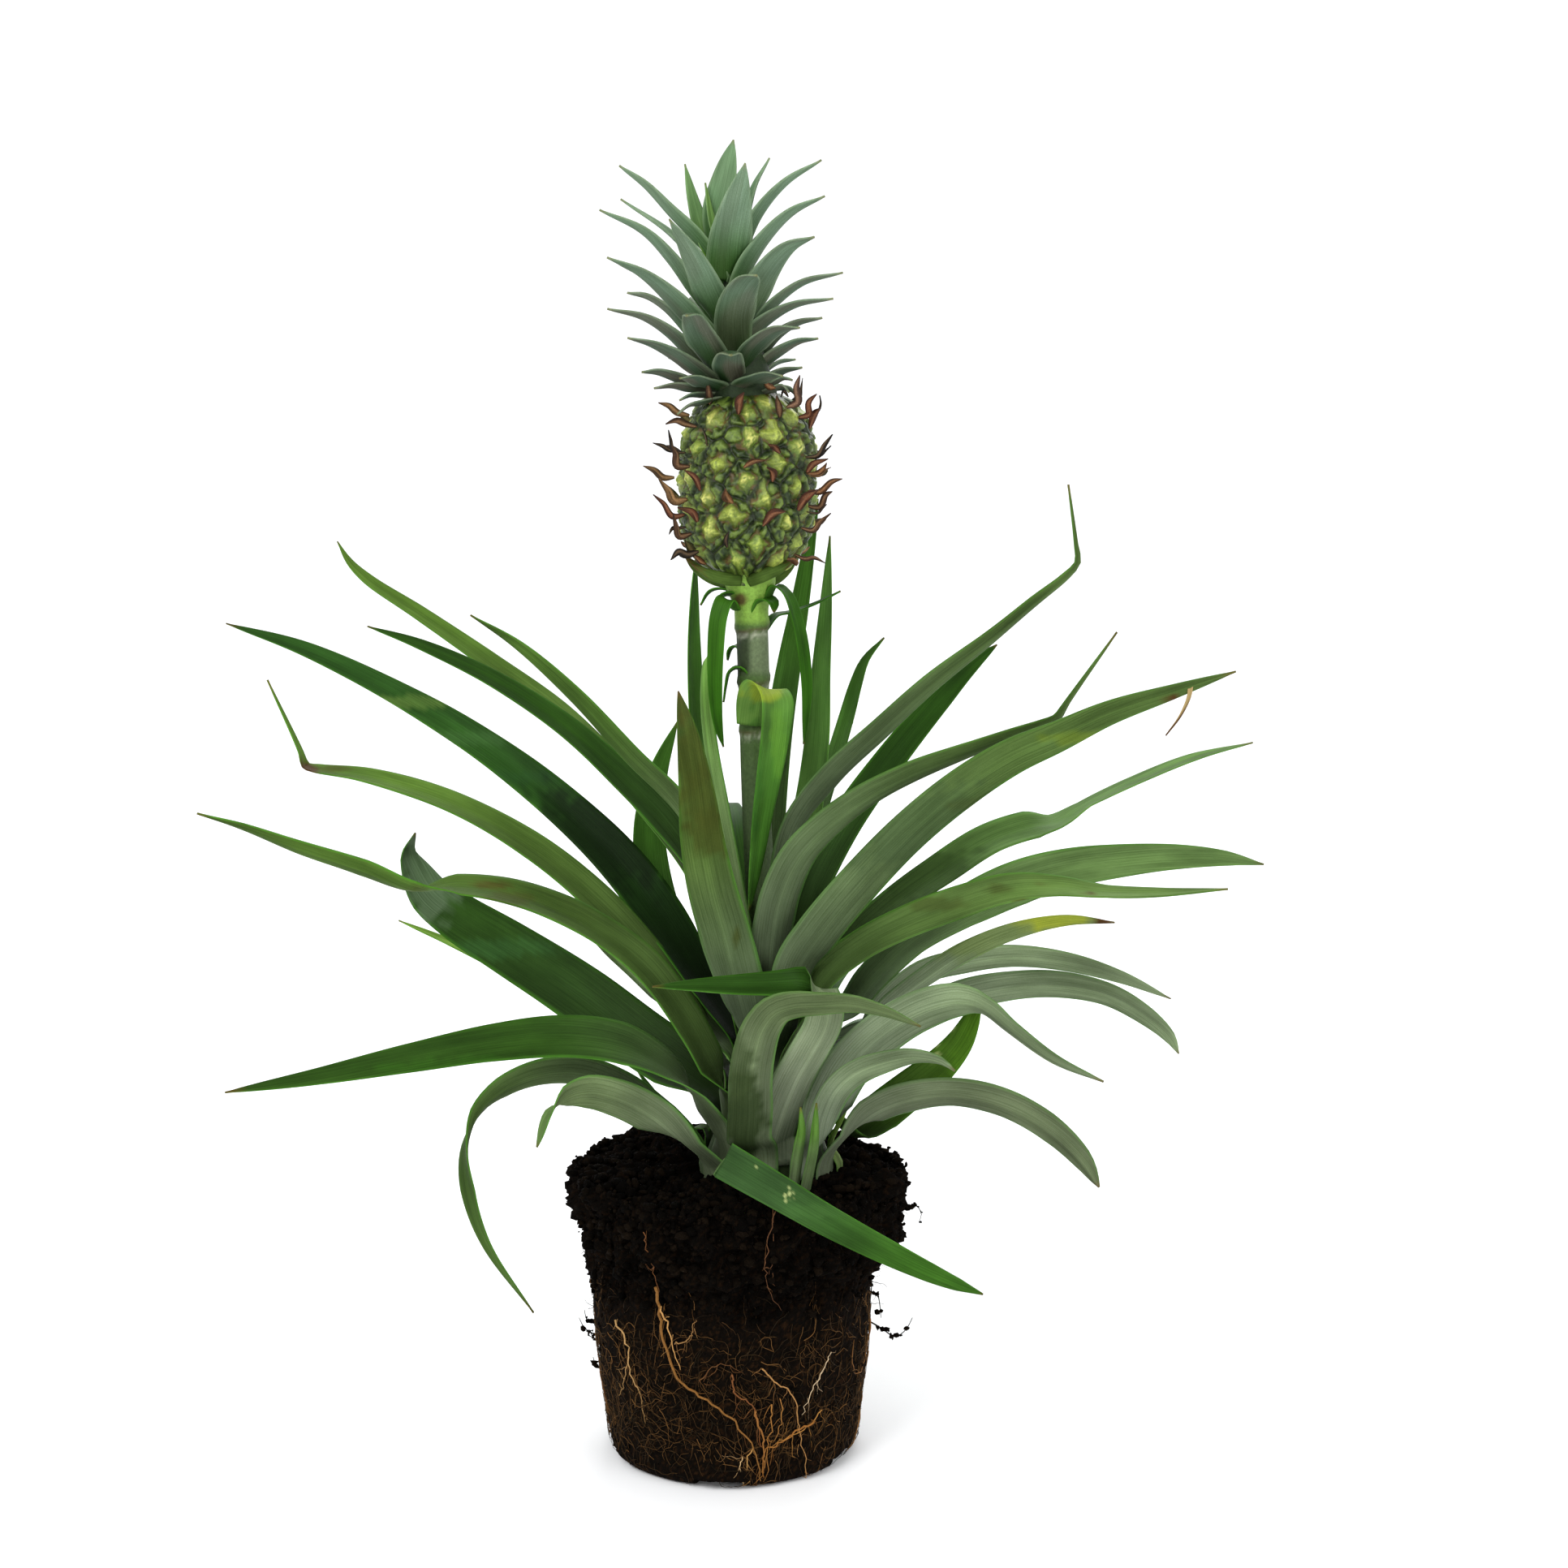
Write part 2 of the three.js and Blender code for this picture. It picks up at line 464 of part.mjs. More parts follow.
    path: [[44, 153], [55, 165], [69, 176], [85, 180.5], [102, 182.5], [121.5, 180.5], [141, 175], [158.7, 167.3]] },
  { bearing: 135, width: 10, turn: [25],
    path: [[-8, 130], [-28, 145], [-55, 162], [-80, 177], [-100, 187.3], [-119.5, 196]] },
  { bearing: 291, width: 17, turn: [0, 0, 0, 0, 0, 0, 90, 180, 180, 180, 180, 180],
    path: [[15.5, 114, -24.5], [19.5, 127, -29], [24, 138, -34], [29.5, 148, -39], [34, 157, -41], [34.8, 165, -41],
      [31.5, 171, -40], [26, 172.8, -38.5], [14, 172.3, -37.5], [0, 172, -39], [-14, 172, -43], [-28.5, 171.7, -48]] },
  { bearing: 50, width: 14, turn: [0],
    path: [[27, 132, 32], [38, 149, 58], [47, 158, 88], [54, 160, 118], [60, 156, 145]] },
  { bearing: 272, width: 16, turn: [0],
    path: [[6.5, 114, -35], [7, 125, -39.5], [7, 136, -43], [8.5, 147, -47.5], [11.3, 156, -51], [16, 162, -53],
      [23, 164.3, -54], [31, 164.7, -55], [43, 165, -56], [55, 162.5, -57], [68.5, 157, -58]] },
  { bearing: 17, width: 15, turn: [-50, -70, -75, -75, -70, -65, -65, -65, -60],
    path: [[48, 143], [60, 153], [72, 161.5], [84, 167.5], [99, 171], [117, 172], [136, 168.3], [150, 160.5],
      [158.5, 153], [162, 147]] },
  { bearing: 336, width: 17.5, turn: [-60, -70, -75, -75, -65, -45, -45, -50, -50],
    path: [[31, 114, -22], [36, 129, -25], [44, 143.5, -28], [56, 155, -32], [70, 163, -36], [82.5, 166, -40],
      [91, 164, -42], [101, 156, -45], [117, 144.5, -49], [135, 136.5, -53]] },
  { bearing: 125, width: 14, turn: [0],
    path: [[0, 128, 32], [-10, 145, 58], [-20, 153, 88], [-29, 152, 118], [-36, 144, 142]] },
  { bearing: 205, width: 20, turn: [-10, 5, 30, 50, 55, 65, 65, 50, 50],
    path: [[-4, 113, -21], [-9, 122.5, -24.5], [-15, 133, -31], [-25, 142, -35], [-40, 149.8, -41], [-60, 152.8, -48],
      [-85, 151, -56], [-115, 145.5, -65], [-150, 138.3, -75], [-184, 132.5, -84]] },
  { bearing: 316, width: 11, turn: [-40, -60, -70, -65, -50, -40, -40],
    path: [[31.5, 114, -29], [33.5, 123, -32], [38, 133, -36], [45, 139.5, -40], [55, 143.5, -44], [66, 145.7, -48],
      [76, 144, -51], [81, 140.5, -53]] },
  { bearing: 24, width: 16.5, turn: [50, 55, 60, 60, 55, 50],
    path: [[45, 116, 15], [55, 125, 19], [65, 133.5, 23], [75, 142, 27], [82.5, 151, 31], [87, 160, 34], [90, 167, 36]] },
  { bearing: 337, width: 14, full: 8, turn: [-50, -60, -60, -65, -75, -75, -70],
    path: [[43, 117.5, -20], [51, 124, -23], [62, 129, -27], [78.5, 131.5, -33], [97.5, 128, -41], [114.5, 119, -49],
      [127, 107.5, -56], [134, 97, -60]] },
  { bearing: 200, width: 13, turn: [-60, -70, -70, -65, -60, -40, 0, 40, 45, 45],
    path: [[-12, 112, -16], [-25, 122.5, -20], [-40, 134, -25], [-55, 139.8, -30], [-70, 139, -34], [-83, 133.5, -38],
      [-92, 125, -40], [-96.5, 112, -42], [-96, 96, -43], [-90, 76, -42], [-73, 49.5, -38]] },
  { bearing: 225, width: 15, turn: [-60, -75, -80, -60, 0, 40],
    path: [[-17, 113.5, -31], [-29, 123.5, -38], [-41, 130, -45], [-52, 132.5, -51], [-60, 130.5, -55],
      [-66, 125, -58], [-71, 112, -61]] },
  { bearing: 258, width: 19, turn: [0, 0, -20, -35, -35, -35, -35, -35],
    path: [[4, 114.5, -40], [0, 114.5, -52], [-3, 110.5, -62], [3, 103.5, -68], [14, 96.5, -71], [35, 84, -75],
      [59, 71, -77], [77, 62.5, -77], [92, 56.5, -76]] },
  { bearing: 148, width: 5.5, turn: [0],
    path: [[-19, 117, 15], [-25.5, 126.5, 20], [-29.5, 133.5, 23], [-34, 140.5, 26]] },
  { bearing: 340, width: 6.5, turn: [0],
    path: [[36.5, 113, -7.5], [40, 122, -8.5], [43.5, 131, -10], [48, 139.5, -12]] },
  { bearing: 287, width: 4.5, turn: [0], path: [[24.5, 112, -34], [25.5, 119, -36], [25, 127, -37.5]] },
  { bearing: 300, width: 4.5, turn: [0], path: [[30, 111.5, -35], [30.5, 120, -36.5], [30.8, 128.5, -38]] },
];

// Where a leaf's path starts, and the bearing of that point from the stem's axis
function leafPath({ bearing, path }) {
  return path.map(([x, z, y]) => seen(x, z, y ?? depthOnBearing(x, bearing)));
}

function seatBearing(leaf) {
  const first = leafPath(leaf)[0];
  return THREE.MathUtils.radToDeg(Math.atan2(first.y, first.x - STEM_X));
}

function bearingGap(a, b) {
  return ((a - b + 900) % 360) - 180;
}

// Leaf bases lie in layers round the short stem, each seated a little under the leaf's first point, and each clear
// of every inner base that it overlaps
function seatRadii(leaves) {
  const seats = [];
  for (const leaf of leaves) {
    const bearing = seatBearing(leaf);
    const near = seats.filter((s) => Math.abs(bearingGap(s.bearing, bearing)) < 2 * SHEATH_HALF_ANGLE + 3);
    const own = Math.min(stemRadius(leaf.path[0][1] - SHEATH_HEIGHT), OUTER_SEAT_RADIUS);
    const radius = Math.max(own, STALK_RADIUS + 1.2, ...near.map((s) => s.radius + SHEATH_PITCH));
    seats.push({ bearing, radius });
  }
  return seats.map((s) => s.radius);
}

function leafCurve(leaf, radius) {
  const bearing = rad(seatBearing(leaf));
  const out = vec(Math.cos(bearing), Math.sin(bearing), 0);
  const foot = seatHeight(radius) + 0.6;
  const root = [0, 8].map((rise) => vec(STEM_X, 0, foot + rise).addScaledVector(out, radius + 0.6 + rise * 0.06));
  return new THREE.CatmullRomCurve3([...root, ...leafPath(leaf)], false, "centripetal");
}

// A blade is widest above its root, tapers to a point, and is never wider than its share of the circle round the stem
function leafWidth({ width, full = 2.8 }, t, point) {
  const taper = Math.pow(Math.max(0, 1 - t ** full), 0.8);
  const share = 2 * Math.tan(rad(SHEATH_HALF_ANGLE)) * Math.hypot(point.x - STEM_X, point.y);
  return Math.max(0.9, Math.min(width * taper, share));
}

function leafSolid(leaf, radius, fit = 0) {
  const seat = seatBearing(leaf);
  const swing = bearingGap(leaf.bearing, seat);
  const curve = leafCurve(leaf, radius);
  const rootShare = 2 / (curve.points.length - 1);
  const roll = Math.sign(Math.cos(rad(leaf.bearing)));
  return bladeSolid({
    curve,
    side: vec(-Math.sin(rad(seat)), Math.cos(rad(seat)), 0),
    widthAt: (t, point) => leafWidth(leaf, t, point),
    cupAt: (t) => readAlong([0.08, 0.14, 0.13, 0.11, 0.08], t),
    turnAt: (t) => readAlong([0, ...leaf.turn], (t - rootShare) / (1 - rootShare)) * roll
      + swing * clamp(t / rootShare, 0, 1),
    fit,
  });
}

// Where two blades still meet, the outer one is cut back clear of the inner one
function cutClear(solid, others) {
  let made = solid;
  for (const other of others) {
    if (made.intersect(other).volume() > 1e-6) made = made.subtract(other);
  }
  return largestPiece(made);
}

// Fruit: a barrel set with eyes in a spiral. Each eye is a low dome with five corners and a dried flower.

const fruitFrame = new THREE.Matrix4()
  .makeRotationY(rad(FRUIT_LEAN))
  .setPosition(FRUIT_X, 0, FRUIT_BASE_Z);

// Barrel radius at a share of the height
function fruitRadius(share) {
  const belly = Math.pow(Math.max(0, 1 - Math.abs(2 * share - 1.06) ** 3.1), 0.42);
  return FRUIT_RADIUS * belly;
}

function fruitSolid() {
  const core = [];
  for (const share of [0, 0.06, 0.2, 0.5, 0.8, 0.94, 1]) {
    core.push(roundRing(vec(0, 0, share * FRUIT_HEIGHT), Math.max(9, fruitRadius(share) - 1.9), 15));
  }
  let made = solidFrom(loft(core));
  const eyes = [];
  for (let i = 0; i < FRUIT_EYES; i++) eyes.push(eyeSolid(i));
  made = Manifold.union([made, ...eyes]);
  return largestPiece(made);
}

function eyeFrame(i) {
  const share = 0.055 + 0.9 * Math.pow((i + 0.5) / FRUIT_EYES, 0.98);
  const angle = rad(i * GOLDEN_ANGLE);
  const slope = (fruitRadius(share + 0.01) - fruitRadius(share - 0.01)) / (0.02 * FRUIT_HEIGHT);
  const out = vec(Math.cos(angle), Math.sin(angle), -clamp(slope, -1.6, 1.6)).normalize();
  const aside = vec(-Math.sin(angle), Math.cos(angle), 0);
  const up = out.clone().cross(aside);
  const r = fruitRadius(share);
  return { out, aside, up, middle: vec(r * Math.cos(angle), r * Math.sin(angle), share * FRUIT_HEIGHT), share };
}

function eyeSolid(i) {
  const { out, aside, up, middle, share } = eyeFrame(i);
  const size = 0.78 + 0.22 * Math.sin(Math.PI * clamp(share, 0.05, 0.95));
  const ring = (wide, tall, lift, rise = 0) =>
    Array.from({ length: 5 }, (_, k) => {
      const a = rad(72 * k + 90);
      return middle.clone()
        .addScaledVector(aside, wide * size * Math.cos(a))
        .addScaledVector(up, tall * size * Math.sin(a) + rise)
        .addScaledVector(out, lift);
    });
  const dome = solidFrom(loft([ring(5.2, 5, -2.7), ring(3.2, 3, 1.4, 0.6)]));
  return dome.add(driedFlower(i));
}

// The dried flower and bract tip stand out of the eye and curl upwards
function driedFlower(i) {
  const { out, aside, up, middle } = eyeFrame(i);
  const long = 9 + 4 * chance(i);
  const lean = 0.9 * (chance(i + 100) - 0.5);
  const rings = [0, 0.6, 1].map((t) => {
    const at = middle.clone()
      .addScaledVector(out, -1 + long * t * (1 - 0.25 * t))
      .addScaledVector(up, 0.6 + long * 0.55 * t * t)
      .addScaledVector(aside, lean * long * t * t);
    const thick = readAlong([1.8, 1.4, 0.5], t);
    return [
      at.clone().addScaledVector(aside, thick),
      at.clone().addScaledVector(up, thick * 0.9),
      at.clone().addScaledVector(aside, -thick),
    ];
  });
  return solidFrom(loft(rings));
}

// Crown: short blades round a tapering core, from the top down. They are given as the rosette leaves are, with
// their bearing from the crown's own axis. The last seven, at the back, are out of sight from the front.
const CROWN_LEAVES = [
  { bearing: 170, width: 4.5, path: [[-2, 431, 1], [-6, 443, 2], [-8.3, 456, 3]] },
  { bearing: 80, width: 11.5, path: [[-1.5, 428, 2], [-3.5, 445, 4], [-1, 459, 6], [1.6, 470.4, 7]] },
  { bearing: 150, width: 8, path: [[-3, 427, 1], [-9.3, 439.5, 3], [-12.7, 450.7, 6], [-15.3, 462.3, 9]] },
  { bearing: 40, width: 7, path: [[1.5, 428, 2], [5.7, 442, 6], [9.2, 455.9, 11], [14, 464.3, 16]] },
  { bearing: 290, width: 16, path: [[-0.5, 424, -3], [0.2, 437.8, -9], [2.6, 450.7, -14], [5.6, 462.6, -18]] },
  { bearing: 172, width: 13, path: [[-1, 425, 0], [-9.3, 437, 1], [-20.7, 448.5, 2], [-29.4, 456.8, 3], [-38, 461.8, 4]] },
  { bearing: 5, width: 12, path: [[1, 424, 0], [5.5, 436, 1], [11, 448, 2], [20, 457.6, 3], [32, 463.7, 4]] },
  { bearing: 150, width: 9, path: [[-3, 421, 3], [-13, 432.5, 9], [-22, 441, 15], [-37.6, 450.4, 20]] },
  { bearing: 350, width: 12.5, path: [[2, 417, -1], [5, 427, -3], [11.5, 438, -5], [21.5, 447.3, -6], [33.2, 451.5, -7]] },
  { bearing: 185, width: 12.5, path: [[-3, 408, 0], [-12, 420, -1], [-20.8, 432.5, -2], [-30, 441, -3], [-45, 446.8, -4]] },
  { bearing: 235, width: 13.5, path: [[-2, 408, -5], [-6.5, 420, -13], [-13, 433, -20], [-20.8, 443.6, -27]] },
  { bearing: 325, width: 15, path: [[4, 406, -3], [7, 417, -9], [12.5, 428, -14], [20.5, 435.8, -19], [29.6, 437.6, -23]] },
  { bearing: 10, width: 10.5, path: [[5, 402, 1], [9, 409, 2], [17, 417.5, 4], [26, 423.2, 5], [39.5, 425.4, 7]] },
  { bearing: 205, width: 13, path: [[-3, 400, -3], [-11, 410, -7], [-20.5, 420, -12], [-30.5, 426.8, -16], [-42.5, 430.6, -20]] },
  { bearing: 150, width: 9, path: [[-6, 406, 5], [-17, 417.5, 11], [-28, 424.5, 16], [-38.2, 428.2, 20]] },
  { bearing: 285, width: 14.5, path: [[2.5, 398, -7], [1.6, 410, -15], [3.4, 419, -22], [7, 424.2, -30], [9.5, 424.4, -37]] },
  { bearing: 350, width: 11, path: [[4, 399, -2], [8, 406.5, -4], [15, 412.5, -6], [23.5, 415.8, -8], [36.2, 416.5, -9]] },
  { bearing: 165, width: 10, path: [[-7, 396, 3], [-14, 405.5, 5], [-22, 414.5, 7], [-28.8, 418.2, 9], [-35.6, 418.5, 11]] },
  { bearing: 190, width: 11.5, path: [[-6, 391, -1], [-14, 400, -3], [-21, 406.8, -5], [-30, 411.4, -6], [-42.6, 413, -8]] },
  { bearing: 0, width: 9, path: [[7, 393, 0], [12.7, 400.4, 0], [18, 406.2, 0], [24.2, 409.2, 0], [32.4, 409.9, 0]] },
  { bearing: 245, width: 13, path: [[-3.5, 391, -8], [-7.5, 400.5, -17], [-11, 407.5, -25], [-13.2, 411.8, -33], [-15, 410.5, -40]] },
  { bearing: 315, width: 11, path: [[4.5, 393, -8], [8.5, 402, -15], [16.5, 407.3, -22], [24.5, 406.5, -28]] },
  { bearing: 355, width: 9, path: [[7, 389, -1], [12.7, 396.1, -1], [18.9, 400.6, -2], [24.4, 402.8, -3], [31, 402.8, -4]] },
  { bearing: 205, width: 11, path: [[-4, 387.5, -4], [-9.5, 392.5, -8], [-17, 398, -12], [-26.3, 401.9, -17], [-35.6, 403, -21]] },
  { bearing: 145, width: 8, path: [[-6, 389, 7], [-13, 396, 12], [-20, 400, 17], [-28.2, 401, 21]] },
  { bearing: 45, width: 7, path: [[8, 387.5, 6], [13.6, 393.4, 10], [17.5, 395.4, 14], [23, 395.5, 18]] },
  { bearing: 350, width: 9, path: [[7, 386.5, -2], [13.6, 390.4, -3], [19, 392.9, -4], [25.4, 392.8, -6]] },
  { bearing: 268, width: 11.5, path: [[0.8, 387.5, -10], [-0.5, 393.5, -18], [0, 398, -26], [0.5, 396.8, -34]] },
  { bearing: 185, width: 9, path: [[-7, 386, -1], [-14, 388.6, -2], [-19.4, 391, -3], [-25.5, 392.2, -4], [-30.8, 391.2, -5]] },
  { bearing: 305, width: 10, path: [[4, 386.5, -9], [8.5, 390, -17], [14.5, 391.6, -23], [18.5, 389.8, -28]] },
  { bearing: 228, width: 10, path: [[-3, 386.3, -8], [-8.5, 389.2, -15], [-13.8, 390.6, -21], [-17.5, 389, -26]] },
  { bearing: 195, width: 8, path: [[-7, 385.8, -3], [-14, 387.2, -5], [-20, 387.6, -7], [-26.5, 385.6, -9]] },
  { bearing: 75, width: 12, path: [[1, 417, 2], [3, 430, 9], [5, 441, 17], [7, 447, 27]] },
  { bearing: 110, width: 13, path: [[0, 408, 4], [-1, 421, 13], [-3, 432, 23], [-5, 437, 35]] },
  { bearing: 65, width: 13, path: [[4, 400, 6], [7, 413, 16], [10, 422, 26], [13, 425, 38]] },
  { bearing: 130, width: 12, path: [[-3, 396, 6], [-7, 408, 16], [-11, 415, 26], [-14, 416, 37]] },
  { bearing: 85, width: 12, path: [[3, 392, 8], [4, 403, 20], [5, 409, 31], [6, 409, 42]] },
  { bearing: 105, width: 10, path: [[1, 388, 10], [0, 394, 19], [-1, 397, 28], [-2, 395, 37]] },
  { bearing: 100, width: 7, path: [[2, 386, 10], [1, 388.5, 18], [0, 389, 25], [0, 387, 31]] },
];

function crownCore() {
  const lean = new THREE.Matrix4().makeRotationY(rad(CROWN_LEAN)).setPosition(CROWN_X, 0, CROWN_BASE_Z);
  const rings = [0, 0.1, 0.4, 0.75, 1].map((share) => {
    const radius = THREE.MathUtils.lerp(CROWN_CORE_RADIUS, 2.2, share ** 0.8);
    return roundRing(vec(0, 0, share * CROWN_CORE_HEIGHT), radius, 10).map((p) => p.applyMatrix4(lean));
  });
  return solidFrom(loft(rings));
}

// The path of a blade at the side follows its near edge, so the middle of the blade hangs below it
function crownLeafSolid({ bearing, width, path }) {
  const sideways = Math.abs(Math.cos(rad(bearing)));
  const full = 3.2 - 1.3 * sideways;
  const widthAt = (t) => Math.max(0.8, width * (1 - t ** full) ** 0.9 * (0.75 + 0.25 * Math.min(1, 2.5 * t)));
  const points = path.map(([x, z, y], i) => {
    const hang = CROWN_HANG * sideways * widthAt(i / (path.length - 1));
    return seen(x, z, y).sub(vec(0, 0, hang));
  });
  return bladeSolid({
    curve: new THREE.CatmullRomCurve3(points, false, "centripetal"),
    side: vec(-Math.sin(rad(bearing)), Math.cos(rad(bearing)), 0),
    widthAt,
    cupAt: (t) => CROWN_CUP * (1 - 0.5 * t),
    turnAt: (t) => -CROWN_TURN * Math.sign(Math.cos(rad(bearing))) * sideways * Math.min(1, 3 * t),
  });
}

// The plant as a group of named meshes

const COLOURS = {
  soil: new THREE.MeshStandardMaterial({ color: 0x2a1c12, roughness: 1, metalness: 0 }),
  stalk: new THREE.MeshStandardMaterial({ color: 0x4f6b2e, roughness: 0.7, metalness: 0 }),
  leaf: new THREE.MeshStandardMaterial({ color: 0x3f6b3a, roughness: 0.5, metalness: 0 }),
  bract: new THREE.MeshStandardMaterial({ color: 0x5c9a2e, roughness: 0.5, metalness: 0 }),
  fruit: new THREE.MeshStandardMaterial({ color: 0x7f8f35, roughness: 0.55, metalness: 0 }),
  crown: new THREE.MeshStandardMaterial({ color: 0x4a6e56, roughness: 0.55, metalness: 0 }),
};

const plant = new THREE.Group();

function place(name, solid, material, matrix) {
  const mesh = new THREE.Mesh(geometryOf(solid), material);
  mesh.name = name;
  if (matrix) mesh.applyMatrix4(matrix);
  plant.add(mesh);
}

function placed(solid, matrix) {
  return solid.transform(matrix.toArray());
}

const fruit = fruitSolid();
const roundFruit = placed(fruit.scale([1.01, 1.01, 1.01]), fruitFrame);
const crownWhole = Manifold.union([crownCore(), ...CROWN_LEAVES.map(crownLeafSolid)]);
const crown = cutClear(crownWhole, [roundFruit, placed(fruit, fruitFrame)]);
const stem = cutClear(stemSolid(), [roundFruit]);
const rootBall = rootBallSolid();
place("root_ball", rootBall, COLOURS.soil);
place("stem", stem, COLOURS.stalk);
place("fruit", fruit, COLOURS.fruit, fruitFrame);
place("crown", crown, COLOURS.crown);

const inPlace = []; // solids with their clearance, that later blades keep clear of
const fixed = [placed(fruit, fruitFrame), stem, rootBall];
for (const bract of LONG_BRACTS) {
  const solid = cutClear(bractSolid(bract), [...fixed, ...inPlace]);
  inPlace.push(bractSolid(bract, LEAF_GAP));
  place(bract.name, solid, COLOURS.bract);
}
const radii = seatRadii(LEAVES);
LEAVES.forEach((leaf, i) => {
  const solid = cutClear(leafSolid(leaf, radii[i]), [...fixed, ...inPlace]);
  inPlace.push(leafSolid(leaf, radii[i], LEAF_GAP));
  place(`leaf_${String(i + 1).padStart(2, "0")}`, solid, COLOURS.leaf);
});

export default plant;
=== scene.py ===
import math
import random
from collections import namedtuple

import bmesh
import bpy
import numpy as np
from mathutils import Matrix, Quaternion, Vector, noise


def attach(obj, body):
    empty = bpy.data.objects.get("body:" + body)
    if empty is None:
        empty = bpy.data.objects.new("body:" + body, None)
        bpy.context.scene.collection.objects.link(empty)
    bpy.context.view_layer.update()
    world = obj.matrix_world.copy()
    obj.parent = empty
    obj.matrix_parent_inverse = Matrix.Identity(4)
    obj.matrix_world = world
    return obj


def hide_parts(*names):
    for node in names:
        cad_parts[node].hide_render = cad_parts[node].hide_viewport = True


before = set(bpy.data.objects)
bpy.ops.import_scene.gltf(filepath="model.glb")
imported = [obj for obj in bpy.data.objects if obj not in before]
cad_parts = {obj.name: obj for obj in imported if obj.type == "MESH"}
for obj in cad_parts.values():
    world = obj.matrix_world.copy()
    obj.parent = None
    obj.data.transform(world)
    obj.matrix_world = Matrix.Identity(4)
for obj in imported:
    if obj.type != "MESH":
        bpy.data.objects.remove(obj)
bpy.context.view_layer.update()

# All sizes below are in millimetres, as in the part's source. MM turns them into the scene's metres.
MM = 0.001

# Camera, at the photo's angle
EYE = Vector((19, -950, 380))
CAMERA_TILT = 81.95  # degrees from straight down
CAMERA_LENS = 61.68

# Root ball
BALL_HEIGHT = 106
BALL_BASE_RADIUS = 44.5
BALL_WAIST_RADIUS = 52
BALL_TOP_RADIUS = 57.5
BALL_LOOSE_FROM = 72
BALL_FOOT_ROUND = 5
FOOT_NOTCHES = 5
FOOT_NOTCH_ANGLE = -95
FOOT_NOTCH_WIDE = 18
FOOT_NOTCH_TALL = 3

# Stem and stalk
STEM_X = 13
STEM_FOOT_Z = 93.3
STEM_FOOT_RADIUS = 29.5
STEM_SHOULDER_Z = 158
STALK_RADIUS = 5.4
STALK_FLARE = 3.2
STALK_TOP_Z = 316

# Fruit and crown
FRUIT_BASE_Z = 317
FRUIT_HEIGHT = 67
FRUIT_RADIUS = 25.3
FRUIT_X = 5.2
FRUIT_LEAN = 1.5
FRUIT_EYES = 74
CROWN_X = 4
CROWN_BASE_Z = FRUIT_BASE_Z + FRUIT_HEIGHT + 0.4
CROWN_CORE_HEIGHT = 52
CROWN_CORE_RADIUS = 13
CROWN_LEAN = -3
CROWN_CUP = 0.26
CROWN_TURN = 24
CROWN_HANG = 0.36
GOLDEN_ANGLE = 137.508

# Leaves
LEAF_THICK = 0.9
EDGE_THICK = 0.45
SHEATH_HALF_ANGLE = 20
SHEATH_PITCH = 1.02
SHEATH_HEIGHT = 16
OUTER_SEAT_RADIUS = 22
LEAF_STEP = 2.6  # length of one facet along a leaf
LEAF_ACROSS = 12  # facets across a leaf
RIPPLE_PER_MM = 0.03  # how fast the ripple of a blade changes along it


def clamp(value, low, high):
    return max(low, min(high, value))


def lerp(a, b, t):
    return a + (b - a) * t


def smoothstep(x, low, high):
    t = clamp((x - low) / (high - low), 0, 1)
    return t * t * (3 - 2 * t)


def chance(seed):
    """A repeatable random number from 0 to 1 for a whole number."""
    wave = math.sin(seed * 127.1 + 311.7) * 43758.5453
    return wave - math.floor(wave)


def read_along(values, t):
    """Piecewise-linear reading of a list of values spread evenly from 0 to 1."""
    if len(values) == 1:
        return values[0]
    at = clamp(t, 0, 1) * (len(values) - 1)
    i = min(int(at), len(values) - 2)
    return lerp(values[i], values[i + 1], at - i)


def srgb(red, green, blue):
    """A display colour, 0 to 255, as the linear colour that shaders take."""
    def linear(c):
        c = c / 255
        return c / 12.92 if c <= 0.04045 else ((c + 0.055) / 1.055) ** 2.4
    return (linear(red), linear(green), linear(blue))


def mix(a, b, t):
    return tuple(lerp(p, q, t) for p, q in zip(a, b))


def scaled(tone, factor):
    """A colour made lighter or darker by a factor."""
    return tuple(c * factor for c in tone)


def noise_at(x, y, z):
    return noise.noise(Vector((x, y, z)))


def turns(count):
    """The angles of a full turn in equal steps."""
    return [2 * math.pi * k / count for k in range(count)]


def half_turn(angle):
    """An angle brought to between minus and plus half a turn."""
    return (angle + math.pi) % (2 * math.pi) - math.pi


def polar(radius, angle, z, x=0):
    """The point at a radius and an angle round the upright line through x."""
    return Vector((x + radius * math.cos(angle), radius * math.sin(angle), z))


def around(angle):
    """The level direction across a blade that leaves the middle at an angle."""
    return Vector((-math.sin(angle), math.cos(angle), 0))


def leant(point, degrees, x, z):
    """A point of an upright shape that leans to the right by an angle and stands at x and z."""
    lean = math.radians(degrees)
    return Vector((
        point.x * math.cos(lean) + point.z * math.sin(lean) + x,
        point.y,
        -point.x * math.sin(lean) + point.z * math.cos(lean) + z,
    ))


def seen(x, z, y):
    """A point at depth y that the eye sees in front of x and z on the plane of the stem."""
    return EYE.lerp(Vector((x, 0, z)), (y - EYE.y) / -EYE.y)


def depth_on_bearing(x, bearing):
    """Depth at which the line of sight past x on the stem's plane meets the upright plane of a bearing."""
    c = math.cos(math.radians(bearing))
    s = math.sin(math.radians(bearing))
    share = (-EYE.y * c + (EYE.x - STEM_X) * s) / (-EYE.y * c - (x - EYE.x) * s)
    return EYE.y - share * EYE.y


# Meshes

